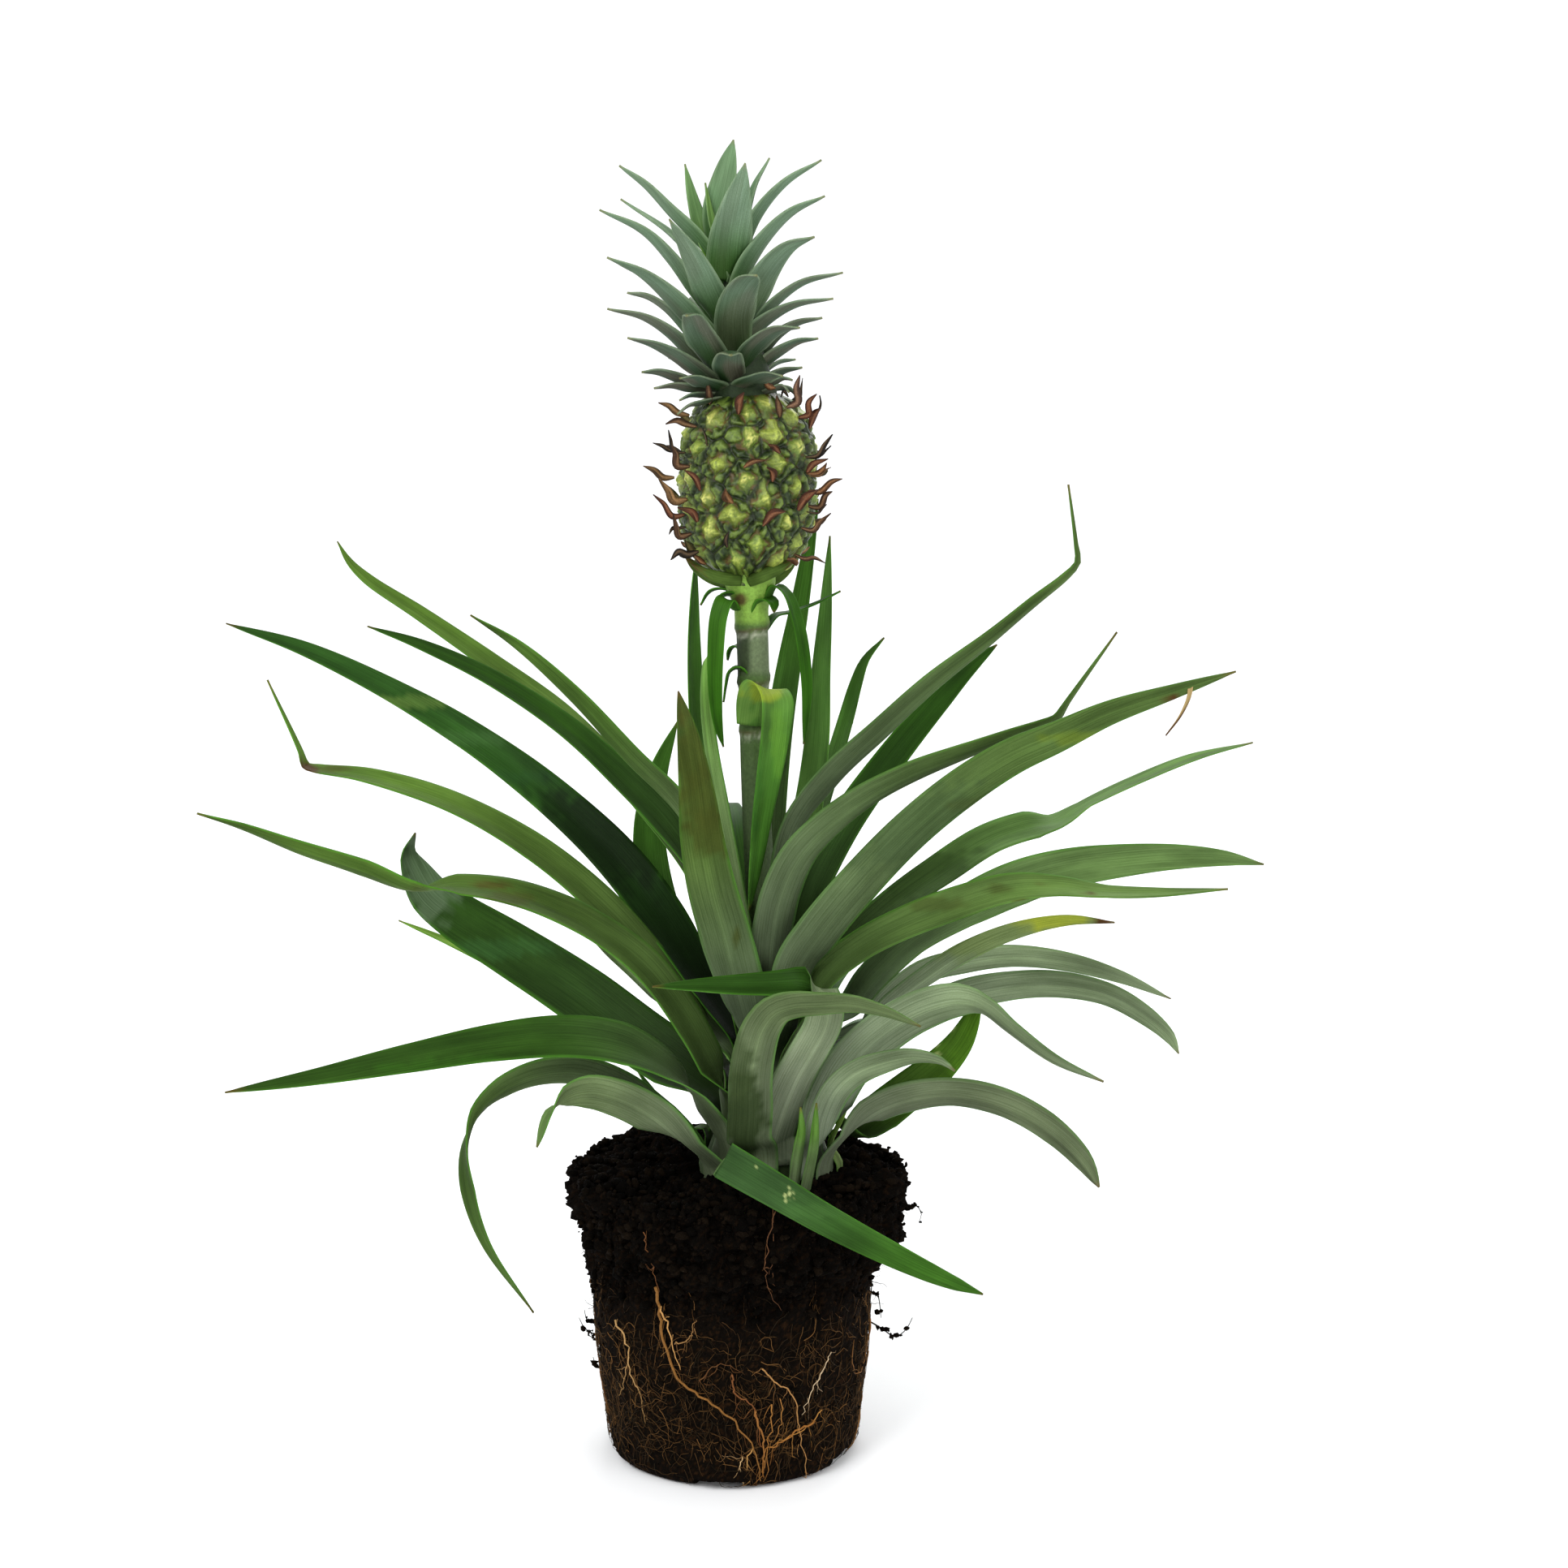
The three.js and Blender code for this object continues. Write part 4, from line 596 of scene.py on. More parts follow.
# Display colours: upper face near the root and outward, lower face near the root and outward
LOOKS = {
    "black": ((16, 28, 12), (36, 70, 22), (50, 66, 40), (44, 72, 26)),
    "dark": ((40, 58, 28), (32, 62, 13), (80, 94, 64), (56, 82, 30)),
    "moss": ((54, 72, 34), (58, 82, 28), (68, 86, 48), (60, 86, 30)),
    "lit": ((42, 60, 28), (80, 112, 54), (78, 92, 62), (80, 112, 56)),
    "split": ((30, 46, 16), (66, 102, 24), (50, 70, 32), (66, 98, 28)),
    "reed": ((36, 54, 24), (36, 64, 17), (70, 86, 50), (48, 76, 24)),
    "fresh": ((88, 112, 60), (82, 124, 54), (100, 120, 78), (88, 126, 54)),
    "green": ((72, 90, 56), (58, 98, 32), (92, 106, 76), (70, 104, 40)),
    "olive": ((66, 84, 44), (74, 104, 36), (88, 102, 66), (80, 106, 38)),
    "lime": ((62, 86, 40), (88, 124, 36), (98, 118, 68), (96, 130, 40)),
    "grey": ((60, 78, 50), (58, 82, 34), (76, 90, 64), (64, 86, 40)),
    "creased": ((84, 100, 66), (36, 66, 18), (116, 128, 102), (96, 112, 78)),
    "slate": ((76, 90, 62), (38, 66, 18), (86, 98, 72), (56, 82, 30)),
    "brown_grey": ((60, 78, 46), (48, 68, 26), (80, 96, 68), (56, 76, 30)),
    "ash": ((74, 94, 60), (82, 108, 58), (88, 100, 74), (82, 98, 62)),
    "pale": ((92, 106, 82), (92, 110, 72), (100, 112, 90), (100, 116, 84)),
    "bright": ((44, 70, 34), (48, 86, 24), (76, 100, 56), (60, 96, 34)),
    "bract": ((48, 88, 22), (38, 78, 12), (52, 90, 26), (40, 82, 14)),
    "tall": ((58, 78, 38), (80, 106, 50), (80, 94, 62), (82, 106, 52)),
    "stone": ((76, 92, 66), (80, 98, 64), (88, 98, 76), (84, 96, 68)),
    "soft": ((84, 122, 52), (66, 112, 38), (96, 134, 60), (74, 120, 44)),
}
RIM = srgb(70, 128, 34)
DRY = srgb(96, 66, 36)

# Marks seen on single leaves, and on the front bract as number 71: real stains and spots, and on some leaves
# painted shade where leaves overlap and painted highlights along the midrib. Seen middle x and z, half width,
# half height, tone and strength
OLIVE_STAIN = (54, 62, 20)
BROWN_STAIN = (64, 38, 16)
PALE_MARK = (170, 182, 118)
STAINS_AND_PAINTED_LIGHT = {
    8: [(-8, 228, 9, 10, OLIVE_STAIN, 0.7), (-10, 240, 10, 13, OLIVE_STAIN, 0.7),
        (-13, 256, 9, 15, OLIVE_STAIN, 0.7), (1.8, 190, 1.4, 3.5, OLIVE_STAIN, 0.7),
        (-17, 274, 4, 10, BROWN_STAIN, 0.2)],
    # Leaf 16: the wide dark green patch over its inner half is painted shade where the leaves above overlap
    # it.
    16: [(158, 275.7, 3.5, 2.2, BROWN_STAIN, 0.95), (66, 230, 42, 18, (48, 66, 40), 0.5),
        (100, 238, 22, 5, OLIVE_STAIN, 0.4), (130, 262, 20, 3, (92, 112, 30), 0.5)],
    # Leaf 17: the large near-black patch by the stem is painted shade where leaves overlap, and the three
    # long thin streaks are a painted highlight along its midrib groove.
    17: [(-42, 227, 42, 22, (13, 24, 9), 0.75), (-114, 275, 20, 2.6, (96, 124, 56), 0.4),
        (-95, 262, 22, 3, (64, 100, 52), 0.3), (-75, 248, 22, 2.5, (34, 66, 34), 0.3)],
    # Leaf 20: the dark patch on its inner part is painted shade between the leaves above and below it.
    20: [(72, 212, 24, 12, (36, 56, 20), 0.65)],
    21: [(-151.8, 251, 5, 3.5, BROWN_STAIN, 0.95), (-141, 251, 8, 1.6, BROWN_STAIN, 0.4)],
    24: [(112, 209.5, 1.6, 1.2, BROWN_STAIN, 0.8), (128, 206, 3, 1, BROWN_STAIN, 0.7),
        (139, 203, 3, 1, BROWN_STAIN, 0.7), (96, 208, 5, 2, OLIVE_STAIN, 0.6),
        (74, 202, 12, 3, OLIVE_STAIN, 0.5), (104, 203, 3, 1, BROWN_STAIN, 0.5)],
    26: [(-86, 209, 8, 1.6, BROWN_STAIN, 0.5), (-80, 204, 12, 3, (56, 62, 22), 0.6),
        (-112.5, 207, 5, 2.5, OLIVE_STAIN, 0.5)],
    29: [(92, 190, 38, 10, (104, 124, 64), 0.6), (117, 197, 17, 6, (140, 152, 40), 0.8),
        (133.5, 195.8, 4.5, 3, BROWN_STAIN, 0.95)],
    # Leaf 30: the long thin light streak is a painted highlight on its glossy upper face.
    30: [(-82, 186, 26, 4, (54, 96, 48), 0.35), (-108, 213, 12, 20, (84, 104, 76), 0.7)],
    # Leaf 36: the dark patches low on its rising part are painted shade in the heart of the rosette.
    36: [(4, 122, 9, 24, (38, 52, 24), 0.9), (2, 140, 7, 14, (52, 66, 36), 0.7)],
    38: [(30, 165, 10, 6, (112, 100, 80), 0.35)],
    40: [(-89, 150, 0.9, 0.9, PALE_MARK, 0.7), (-90, 141, 40, 5, (44, 84, 20), 0.5)],
    # Leaf 42: the dark patch is painted shade below the leaf in front of it.
    42: [(66, 140, 16, 12, (40, 60, 18), 0.6), (74, 149, 0.8, 4.5, PALE_MARK, 0.6),
        (80, 157, 0.6, 3.5, PALE_MARK, 0.6)],
    46: [(21, 95, 0.45, 2.6, PALE_MARK, 0.8), (19.5, 93, 0.4, 2.2, PALE_MARK, 0.8),
        (22.5, 94, 0.4, 1.6, PALE_MARK, 0.5), (9, 104.5, 0.5, 0.8, PALE_MARK, 0.5),
        (30, 88, 16, 3, (58, 92, 42), 0.4)],
    71: [(12, 279, 9, 4.5, (140, 156, 44), 0.7), (17, 262, 3, 16, (96, 146, 46), 0.4),
        (8, 250, 3.5, 26, (40, 84, 26), 0.5)],
}

# Depth of a leaf's channel as a share of its width, from root to tip
LEAF_CUPS = [0.08, 0.14, 0.13, 0.11, 0.08]


def sight(point):
    """Where the line of sight to a point crosses the plane of the stem, as x and z."""
    share = -EYE.y / (point.y - EYE.y)
    return lerp(EYE.x, point.x, share), lerp(EYE.z, point.z, share)


def stem_radius(z):
    """Radius of the hidden stem at a height."""
    t = clamp((z - STEM_FOOT_Z) / (STEM_SHOULDER_Z - STEM_FOOT_Z), 0, 1)
    return lerp(STEM_FOOT_RADIUS, STALK_RADIUS, t)


def seat_height(radius):
    """Height at which the hidden stem has a radius."""
    t = (STEM_FOOT_RADIUS - radius) / (STEM_FOOT_RADIUS - STALK_RADIUS)
    return lerp(STEM_FOOT_Z, STEM_SHOULDER_Z, t)


def leaf_path(leaf):
    """The given points of a leaf in space."""
    points = []
    for x, z, *depth in leaf.path:
        y = depth[0] if depth else depth_on_bearing(x, leaf.bearing)
        points.append(seen(x, z, y))
    return points


def seat_bearing(leaf):
    """Bearing of a leaf's first given point, seen from the stem."""
    first = leaf_path(leaf)[0]
    return math.degrees(math.atan2(first.y, first.x - STEM_X))


def bearing_gap(a, b):
    """The degrees from bearing b to bearing a, the shorter way round."""
    return (a - b + 900) % 360 - 180


def seat_radii(leaves):
    """Radius at which each leaf is seated on the stem, clear of the leaves inside it."""
    seats = []
    for leaf in leaves:
        bearing = seat_bearing(leaf)
        near = [s for s in seats if abs(bearing_gap(s[0], bearing)) < 2 * SHEATH_HALF_ANGLE + 3]
        own = min(stem_radius(leaf.path[0][1] - SHEATH_HEIGHT), OUTER_SEAT_RADIUS)
        radius = max([own, STALK_RADIUS + 1.2] + [s[1] + SHEATH_PITCH for s in near])
        seats.append((bearing, radius))
    return [s[1] for s in seats]


def leaf_curve(leaf, radius):
    """The line of a leaf: two points up its seat on the stem, then its path."""
    bearing = math.radians(seat_bearing(leaf))
    out = polar(1, bearing, 0)
    foot = seat_height(radius) + 0.6
    root = [
        Vector((STEM_X, 0, foot + rise)) + out * (radius + 0.6 + rise * 0.06) for rise in (0, 8)
    ]
    return Curve(root + leaf_path(leaf))


def leaf_width(leaf, t, point):
    """Width of a leaf, no wider near the stem than its share of the way round."""
    taper = max(0, 1 - t ** leaf.full) ** 0.8
    share = 2 * math.tan(math.radians(SHEATH_HALF_ANGLE)) * math.hypot(point.x - STEM_X, point.y)
    return max(0.5, min(leaf.width * taper, share))


def leaf_colour(look, seed):
    """The tint of a blade: greyer towards its root, a thin green margin, a keel line, and its own marks: real
    spots, and on some leaves painted shade and painted highlights.
    """
    root_top, tip_top, root_under, tip_under = (srgb(*tone) for tone in LOOKS[look])
    stains_and_painted_light = [(*shape, srgb(*tone), strength) for *shape, tone, strength in STAINS_AND_PAINTED_LIGHT.get(seed, [])]

    def colour(t, u, under, point):
        near, far = (root_under, tip_under) if under else (root_top, tip_top)
        tone = mix(near, far, smoothstep(t, 0.2, 0.7))
        streak = noise_at(u * 1.5, t * 3.5 + seed, seed * 1.7)
        band = noise_at(u * 0.5, t * 9 + seed, seed * 0.7)
        tone = scaled(tone, 1 + 0.4 * streak + 0.3 * band)
        tone = mix(tone, RIM, smoothstep(abs(u), 0.9, 1.0) * (0.55 if u > 0 else 0.25))
        if under:
            keel = 1 - smoothstep(abs(u), 0.01, 0.06)
            tone = mix(tone, scaled(tone, 1.5), keel * 0.6)
        # Blends in the marks: real spots, and on some leaves painted shade where leaves overlap and painted
        # highlights along the midrib.
        for x, z, wide, tall, stain_and_shade_tone, strength in stains_and_painted_light:
            sx, sz = sight(point)
            off = math.hypot((sx - x) / wide, (sz - z) / tall) + 0.5 * noise_at(sx * 0.25, sz * 0.25, seed)
            tone = mix(tone, stain_and_shade_tone, (1 - smoothstep(off, 0.6, 1.1)) * strength)
        return mix(tone, DRY, smoothstep(t, 0.975, 1.0) * 0.6)

    return colour


# A dry strip that hangs from the margin of leaf 16, as seen points x and z
DRY_STRIP_LEAF = 16
DRY_STRIP = [(163.5, 282), (163, 277), (160, 270), (155, 263)]


SIGHT_STEPS = 300


def seen_depth(curve, x, z):
    """Depth of the place on a curve that the eye sees nearest to x and z on the plane of the stem."""
    places = [curve.at(k / SIGHT_STEPS) for k in range(SIGHT_STEPS + 1)]
    return min(places, key=lambda p: math.dist(sight(p), (x, z))).y


def add_dry_strip(batch, curve):
    depth = seen_depth(curve, *DRY_STRIP[0])
    tan, dark = srgb(156, 136, 92), srgb(80, 56, 34)
    batch.add_blade(
        Curve([seen(x, z, depth) for x, z in DRY_STRIP]),
        Vector((1, 0, 0)),
        lambda t, point: 1.9 * (1 - 0.75 * t),
        lambda t: 0.1,
        lambda t: 60 * t,
        lambda t, u, under, point: mix(tan, dark, smoothstep(t + 0.3 * u, 0.4, 0.9)),
        step=1.2, across=6, thick=0.4, edge=0.25, seed=DRY_STRIP_LEAF,
    )


def add_leaf(number, leaf, radius):
    batch = Batch()
    if number == FOLDED_LEAF:
        add_folded_leaf(batch, number, leaf)
    else:
        add_plain_leaf(batch, number, leaf, radius)
    batch.piece(f"leaf_{number:02d}_blade", LEAF, node=f"leaf_{number:02d}", slot="leaf")


def add_plain_leaf(batch, number, leaf, radius):
    seat = seat_bearing(leaf)
    swing = bearing_gap(leaf.bearing, seat)
    curve = leaf_curve(leaf, radius)
    root_share = 2 / (len(curve.points) - 1)
    roll = 1 if math.cos(math.radians(leaf.bearing)) >= 0 else -1
    batch.add_blade(
        curve,
        around(math.radians(seat)),
        lambda t, point: leaf_width(leaf, t, point),
        lambda t: read_along(LEAF_CUPS, t),
        lambda t: read_along([0, *leaf.turn], (t - root_share) / (1 - root_share)) * roll
        + swing * clamp(t / root_share, 0, 1),
        leaf_colour(leaf.look, number),
        ripple=0.1, seed=number,
    )
    if number == DRY_STRIP_LEAF:
        add_dry_strip(batch, curve)


# The lowest front leaf is creased: it leaves the stem behind its own blade, then folds sharply over it
FOLDED_LEAF = 46
FOLD_ACROSS = Vector((0.58, 0, 0.81))
FOLD_BEHIND = [(-2.7, 107.4, -63), (3, 103.5, -56), (8, 100.8, -46), (11, 100, -36), (13, 99.5, -27)]
FOLD_FRONT = [
    (-2.7, 107.4, -64), (14, 97.3, -69), (35, 84.6, -74), (59, 71.6, -76), (77, 62.8, -76.5), (92, 56.5, -76),
]
FOLD_BEHIND_WIDTHS = [12.4, 11, 9.5]
FOLD_FRONT_WIDTHS = [13.2, 12.6, 11.8, 10.8, 9.6, 8.2, 6.6, 4.4, 0.6]


def add_folded_leaf(batch, number, leaf):
    for path, widths in ((FOLD_BEHIND, FOLD_BEHIND_WIDTHS), (FOLD_FRONT, FOLD_FRONT_WIDTHS)):
        batch.add_blade(
            Curve([seen(*point) for point in path]),
            FOLD_ACROSS,
            lambda t, point: read_along(widths, t),
            lambda t: 0.09,
            lambda t: 0,
            leaf_colour(leaf.look, number),
            step=1.0, across=26, ripple=0.1, seed=number,
        )


def add_bract(batch, bract, seed):
    bearing = math.radians(bract.bearing)
    roll = -1 if math.cos(bearing) < 0 else 1
    batch.add_blade(
        Curve([seen(*point) for point in bract.path]),
        around(bearing),
        lambda t, point: max(
            0.6, bract.width * max(0, 1 - t ** 2.2) ** 0.75 * (0.75 + 0.25 * min(1, t * 5))
        ),
        lambda t: 0.14 * (1 - 0.6 * t),
        lambda t: read_along(bract.turn, t) * roll,
        leaf_colour(bract.look, seed),
        step=1.2, thick=0.8,
    )


# Camera, floor and light

def add_camera():
    data = bpy.data.cameras.new("camera")
    data.sensor_width = 36
    data.lens = CAMERA_LENS
    data.clip_start = 0.05
    data.clip_end = 20
    camera = add_object("camera", data)
    camera.location = EYE * MM
    camera.rotation_euler = (math.radians(CAMERA_TILT), 0, 0)
    bpy.context.scene.camera = camera


LIGHT_TARGET = Vector((0.0, 0.0, 0.25))  # metres


def add_light(name, place, size, power):
    data = bpy.data.lights.new(name, "AREA")
    data.size = size
    data.energy = power
    light = add_object(name, data)
    light.location = place
    light.rotation_euler = (LIGHT_TARGET - Vector(place)).to_track_quat("-Z", "Y").to_euler()


# The white sweep in metres: start and end of its floor, radius of its rise, height and half width
SWEEP_FRONT = -3.0
SWEEP_BACK = 1.6
SWEEP_RISE = 0.9
SWEEP_TOP = 4.0
SWEEP_HALF_WIDTH = 4.0
SWEEP_STEPS = 12


def add_stage():
    """A white sweep: floor, a curved rise behind and a wall."""
    material, _, shader = new_material("paper_sweep")
    shader.inputs["Base Color"].default_value = (0.965, 0.97, 0.98, 1)
    shader.inputs["Roughness"].default_value = 0.9
    profile = [(SWEEP_FRONT, 0.0), (SWEEP_BACK, 0.0)]
    for k in range(1, SWEEP_STEPS + 1):
        a = math.radians(90 * k / SWEEP_STEPS)
        profile.append((SWEEP_BACK + SWEEP_RISE * math.sin(a), SWEEP_RISE * (1 - math.cos(a))))
    profile.append((SWEEP_BACK + SWEEP_RISE, SWEEP_TOP))
    verts = [(x, y, z) for y, z in profile for x in (-SWEEP_HALF_WIDTH, SWEEP_HALF_WIDTH)]
    faces = [(2 * i, 2 * i + 1, 2 * i + 3, 2 * i + 2) for i in range(len(profile) - 1)]
    mesh = bpy.data.meshes.new("floor")
    mesh.from_pydata(verts, [], faces)
    mesh.polygons.foreach_set("use_smooth", [True] * len(mesh.polygons))
    mesh.materials.append(material)
    floor = add_object("floor", mesh)


def add_lights():
    world = bpy.data.worlds.new("studio")
    world.use_nodes = True
    background = world.node_tree.nodes["Background"]
    background.inputs["Color"].default_value = (1, 1, 1, 1)
    background.inputs["Strength"].default_value = 0.85
    bpy.context.scene.world = world
    add_light("key", (-1.1, -1.5, 1.7), 1.2, 34)
    add_light("fill", (1.5, -1.3, 0.9), 1.4, 14)
    add_light("back", (0.3, 1.3, 1.6), 1.2, 16)


# Stalk

STALK_CURVE = Curve([
    (STEM_X, 0, 150), (10.6, 0, 200), (8.8, 0, 250), (8.1, 0, 290), (7.0, 0, STALK_TOP_Z),
    (6.6, 0, STALK_TOP_Z + 5),
])
LEAF_SCARS = (266, 283, 302)
STALK_SIDES = 36
STALK_RINGS = 150
STEM_SIDES = 24
STEM_TONE = srgb(66, 84, 50)


def scar_marks(angle, z):
    """How much the leaf scars swell, dust and darken the stalk at an angle and a height."""
    wave = 2.4 * math.sin(angle + 0.6) + 0.6 * math.sin(3 * angle)
    swell = dust = dark = 0.0
    for scar in LEAF_SCARS:
        off = z - scar - wave * 0.6
        swell += 0.5 * math.exp(-(off / 1.3) ** 2)
        dust = max(dust, math.exp(-((off + 1.6) / 1.3) ** 2))
        dark = max(dark, math.exp(-(off / 0.7) ** 2))
    return swell, dust, dark


def stalk_tone(point, z, angle, dust, dark):
    """Greener upwards, worn and wet at its upper joint, marked at its scars, with one brown spot in front."""
    green, fresh, scar = srgb(66, 92, 42), srgb(118, 154, 62), srgb(176, 178, 158)
    wet, worn, brown = srgb(34, 46, 24), srgb(104, 116, 88), srgb(74, 52, 34)
    sx, sz = sight(point)
    tone = mix(STEM_TONE, green, smoothstep(z, 235, 285))
    tone = mix(tone, fresh, smoothstep(z, 302, 305))
    joint = smoothstep(sz, 283, 287) * (1 - smoothstep(sz, 299, 301))
    tone = mix(tone, worn, joint * 0.7)
    tone = mix(tone, wet, joint * smoothstep(8.2 - sx, 0, 2.5) * 0.85)
    speck = noise_at(angle * 5, z * 0.6, 2) * 0.5 + 0.5
    tone = mix(tone, scar, clamp(dust * (1.8 * speck - 0.6), 0, 0.6))
    tone = mix(tone, brown, dark * 0.55)
    if point.y < 0:
        spot = math.hypot((sx - 3.6) / 2.8, (sz - 311.5) / 2.6)
        tone = mix(tone, brown, (1 - smoothstep(spot, 0.6, 1.1)) * 0.9)
    return tone


def add_stalk():
    batch = Batch()
    verts, tint = [], []
    for r in range(STALK_RINGS):
        mid = STALK_CURVE.at(r / (STALK_RINGS - 1))
        flare = STALK_FLARE * smoothstep(mid.z, 307, STALK_TOP_Z + 3)
        sheath = 0.45 * smoothstep(mid.z, 276, 284) + 0.4 * smoothstep(mid.z, 300, 303)
        for angle in turns(STALK_SIDES):
            swell, dust, dark = scar_marks(angle, mid.z)
            ribs = 0.12 * math.sin(9 * angle + 0.04 * mid.z)
            radius = STALK_RADIUS - 0.25 + swell + ribs + flare + sheath
            point = mid + polar(radius, angle, 0)
            verts.append(point)
            tint.append(stalk_tone(point, mid.z, angle, dust, dark))
    batch.add(verts, ring_faces(STALK_RINGS, STALK_SIDES), tint=tint)
    cone = stem_cone()
    batch.add(cone, ring_faces(2, STEM_SIDES, 1), tint=[STEM_TONE] * len(cone))
    batch.piece("stalk", STALK, node="stem", slot="stalk")


def stem_cone():
    """The short stem that the leaf bases hide."""
    return [
        polar(stem_radius(z) - 0.9, angle, z, STEM_X)
        for z in (STEM_FOOT_Z + 1, STEM_SHOULDER_Z) for angle in turns(STEM_SIDES)
    ]


# Numbers by which the bracts' noise and stains differ from those of the leaves
FIRST_SMALL_BRACT = 60
FIRST_LONG_BRACT = 70


def add_bracts():
    small = Batch()
    for i, bract in enumerate(SMALL_BRACTS, FIRST_SMALL_BRACT):
        add_bract(small, bract, i)
    small.piece("small_bracts", BRACT, slot="bract")
    for i, (name, bract) in enumerate(LONG_BRACTS.items(), FIRST_LONG_BRACT):
        batch = Batch()
        add_bract(batch, bract, i)
        batch.piece(f"{name}_blade", BRACT, node=name, slot="bract")


# Fruit

def fruit_radius(share):
    """Radius of the fruit at a share of its height: a barrel, widest just above its middle."""
    return FRUIT_RADIUS * max(0, 1 - abs(2 * share - 1.06) ** 3.1) ** 0.42


def fruit_world(point):
    """A point of the fruit's own upright frame as a world point."""
    return leant(point, FRUIT_LEAN, FRUIT_X, FRUIT_BASE_Z)


# Middles of the eyes seen in the photo, as seen points x and z
FRONT_EYES = [
    (-7, 375), (6, 376.5), (14, 380), (23, 376), (6, 368), (16, 369.5), (26, 365), (-13.5, 365),
    (-5.5, 359.5), (4.5, 353.5), (18, 359.5), (-16, 354), (24.5, 350.5), (13.5, 347), (-9, 347.5),
    (0.5, 340.5), (-16.5, 342.5), (21, 337.5), (-8.5, 336), (10, 331), (25.5, 331), (1, 325), (-13, 328),
    (18, 325),
]
EYE_PITCH = 8.4
EYE_RELIEF = 2.6
FRUIT_COLUMNS = 400
FRUIT_ROWS = 200

# Dried bract tips seen in the photo: seen points from foot to tip, width and tone
DRIED_TIPS = [
    ([(-18, 377), (-21, 379.5), (-25, 380.5)], 2.3, "tan"),
    ([(-15.5, 373), (-18.5, 374), (-22.5, 373)], 2.2, "brown"),
    ([(-19.5, 363.5), (-20.5, 367.5), (-21.5, 371)], 1.4, "dark"),
    ([(-21, 364), (-23.5, 365.5), (-27, 366.5)], 1.6, "dark"),
    ([(-18, 358.5), (-18.5, 362.5), (-20.5, 365.5)], 2.6, "brown"),
    ([(-23.5, 354.5), (-26.5, 357), (-30.5, 358.5)], 2.4, "tan"),
    ([(-19, 346.5), (-21, 350), (-25, 354)], 3.2, "tan"),
    ([(-20, 341), (-23, 345.5), (-27, 348.5)], 2.4, "red"),
    ([(-17.5, 334), (-18.5, 337.5), (-20, 341.5)], 2.6, "brown"),
    ([(-19.5, 336.5), (-20.5, 336.5), (-21.5, 334.5)], 1.5, "dark"),
    ([(-15, 327.5), (-18, 328.5), (-21, 325.5)], 2.8, "dark"),
    ([(-12, 326.5), (-14, 329.5), (-16, 332.5)], 2.8, "olive"),
    ([(-8.5, 324), (-10.5, 325), (-13, 327.5)], 2.0, "orange"),
    ([(-10.5, 350), (-12.5, 354.5), (-16, 357)], 2.0, "red"),
    ([(-11.5, 339), (-13.5, 343), (-18.5, 344)], 2.4, "red"),
    ([(1, 345.5), (-1, 347.5), (-1.5, 350.5)], 3.0, "orange"),
    ([(-1, 330), (-1.5, 332.5), (-0.5, 335.5)], 1.6, "dark"),
    ([(15, 353), (15, 356), (13, 358)], 2.6, "red"),
    ([(5, 358), (8.5, 360.5), (12.5, 360.5)], 1.8, "orange"),
    ([(17.5, 363), (15.5, 365.5), (13.5, 366)], 2.0, "red"),
    ([(11.5, 337.5), (15, 341.5), (19.5, 342.5)], 2.8, "red"),
    ([(24, 343), (27, 347.5), (31, 350)], 2.8, "red"),
    ([(31.5, 349.5), (35.5, 353), (39.5, 354)], 2.2, "orange"),
    ([(31.5, 344), (33.5, 348), (36, 349.5)], 2.2, "brown"),
    ([(29, 336), (31.5, 339), (35.5, 342)], 1.9, "brown"),
    ([(31, 342), (32.5, 343.5), (34, 345)], 0.9, "dark"),
    ([(27, 356), (29.5, 359.5), (34.5, 361)], 2.2, "red"),
    ([(31, 356), (33, 357.5), (34, 359.5)], 1.7, "orange"),
    ([(30.5, 362), (33, 366), (36, 369.5)], 1.8, "dark"),
    ([(32, 362), (34, 364), (35.5, 365.5)], 0.7, "dark"),
    ([(28, 376.5), (28, 380.5), (30.5, 383.5)], 2.4, "red"),
    ([(28, 371.5), (29.5, 376), (31.5, 378.5)], 2.4, "red"),
    ([(31, 377.5), (32, 380), (31.5, 383)], 0.9, "dark"),
    ([(23.5, 380.5), (23, 385.5), (24.5, 390)], 2.6, "pink"),
    ([(24.5, 382), (25, 385.5), (25.5, 389)], 1.0, "dark"),
    ([(17.5, 375.5), (17.5, 379.5), (16.5, 383)], 2.3, "brown"),
    ([(3, 376.5), (3.5, 380.5), (5, 384)], 2.8, "red"),
    ([(-7, 380), (-7, 384), (-7.5, 388)], 2.2, "brown"),
    ([(16, 385.5), (14, 386), (12, 387.5)], 2.2, "orange"),
    ([(24, 324.5), (22.5, 326), (20, 325.5)], 2.2, "orange"),
    ([(26.5, 326), (29.5, 326.5), (33.5, 324.5)], 1.7, "brown"),
    ([(20.5, 382.5), (19, 384.5), (18, 382.5)], 1.2, "dark"),
    ([(-8, 365.5), (-8.5, 368.5), (-9.5, 371.5)], 0.8, "dark"),
    ([(31.5, 355), (33.5, 357), (35.5, 358)], 0.8, "tan"),
]
DRIED_TONES = {
    "tan": srgb(128, 96, 60), "brown": srgb(90, 62, 40), "red": srgb(102, 58, 38), "dark": srgb(44, 34, 24),
    "orange": srgb(112, 74, 44), "pink": srgb(112, 82, 66), "olive": srgb(78, 74, 34),
}

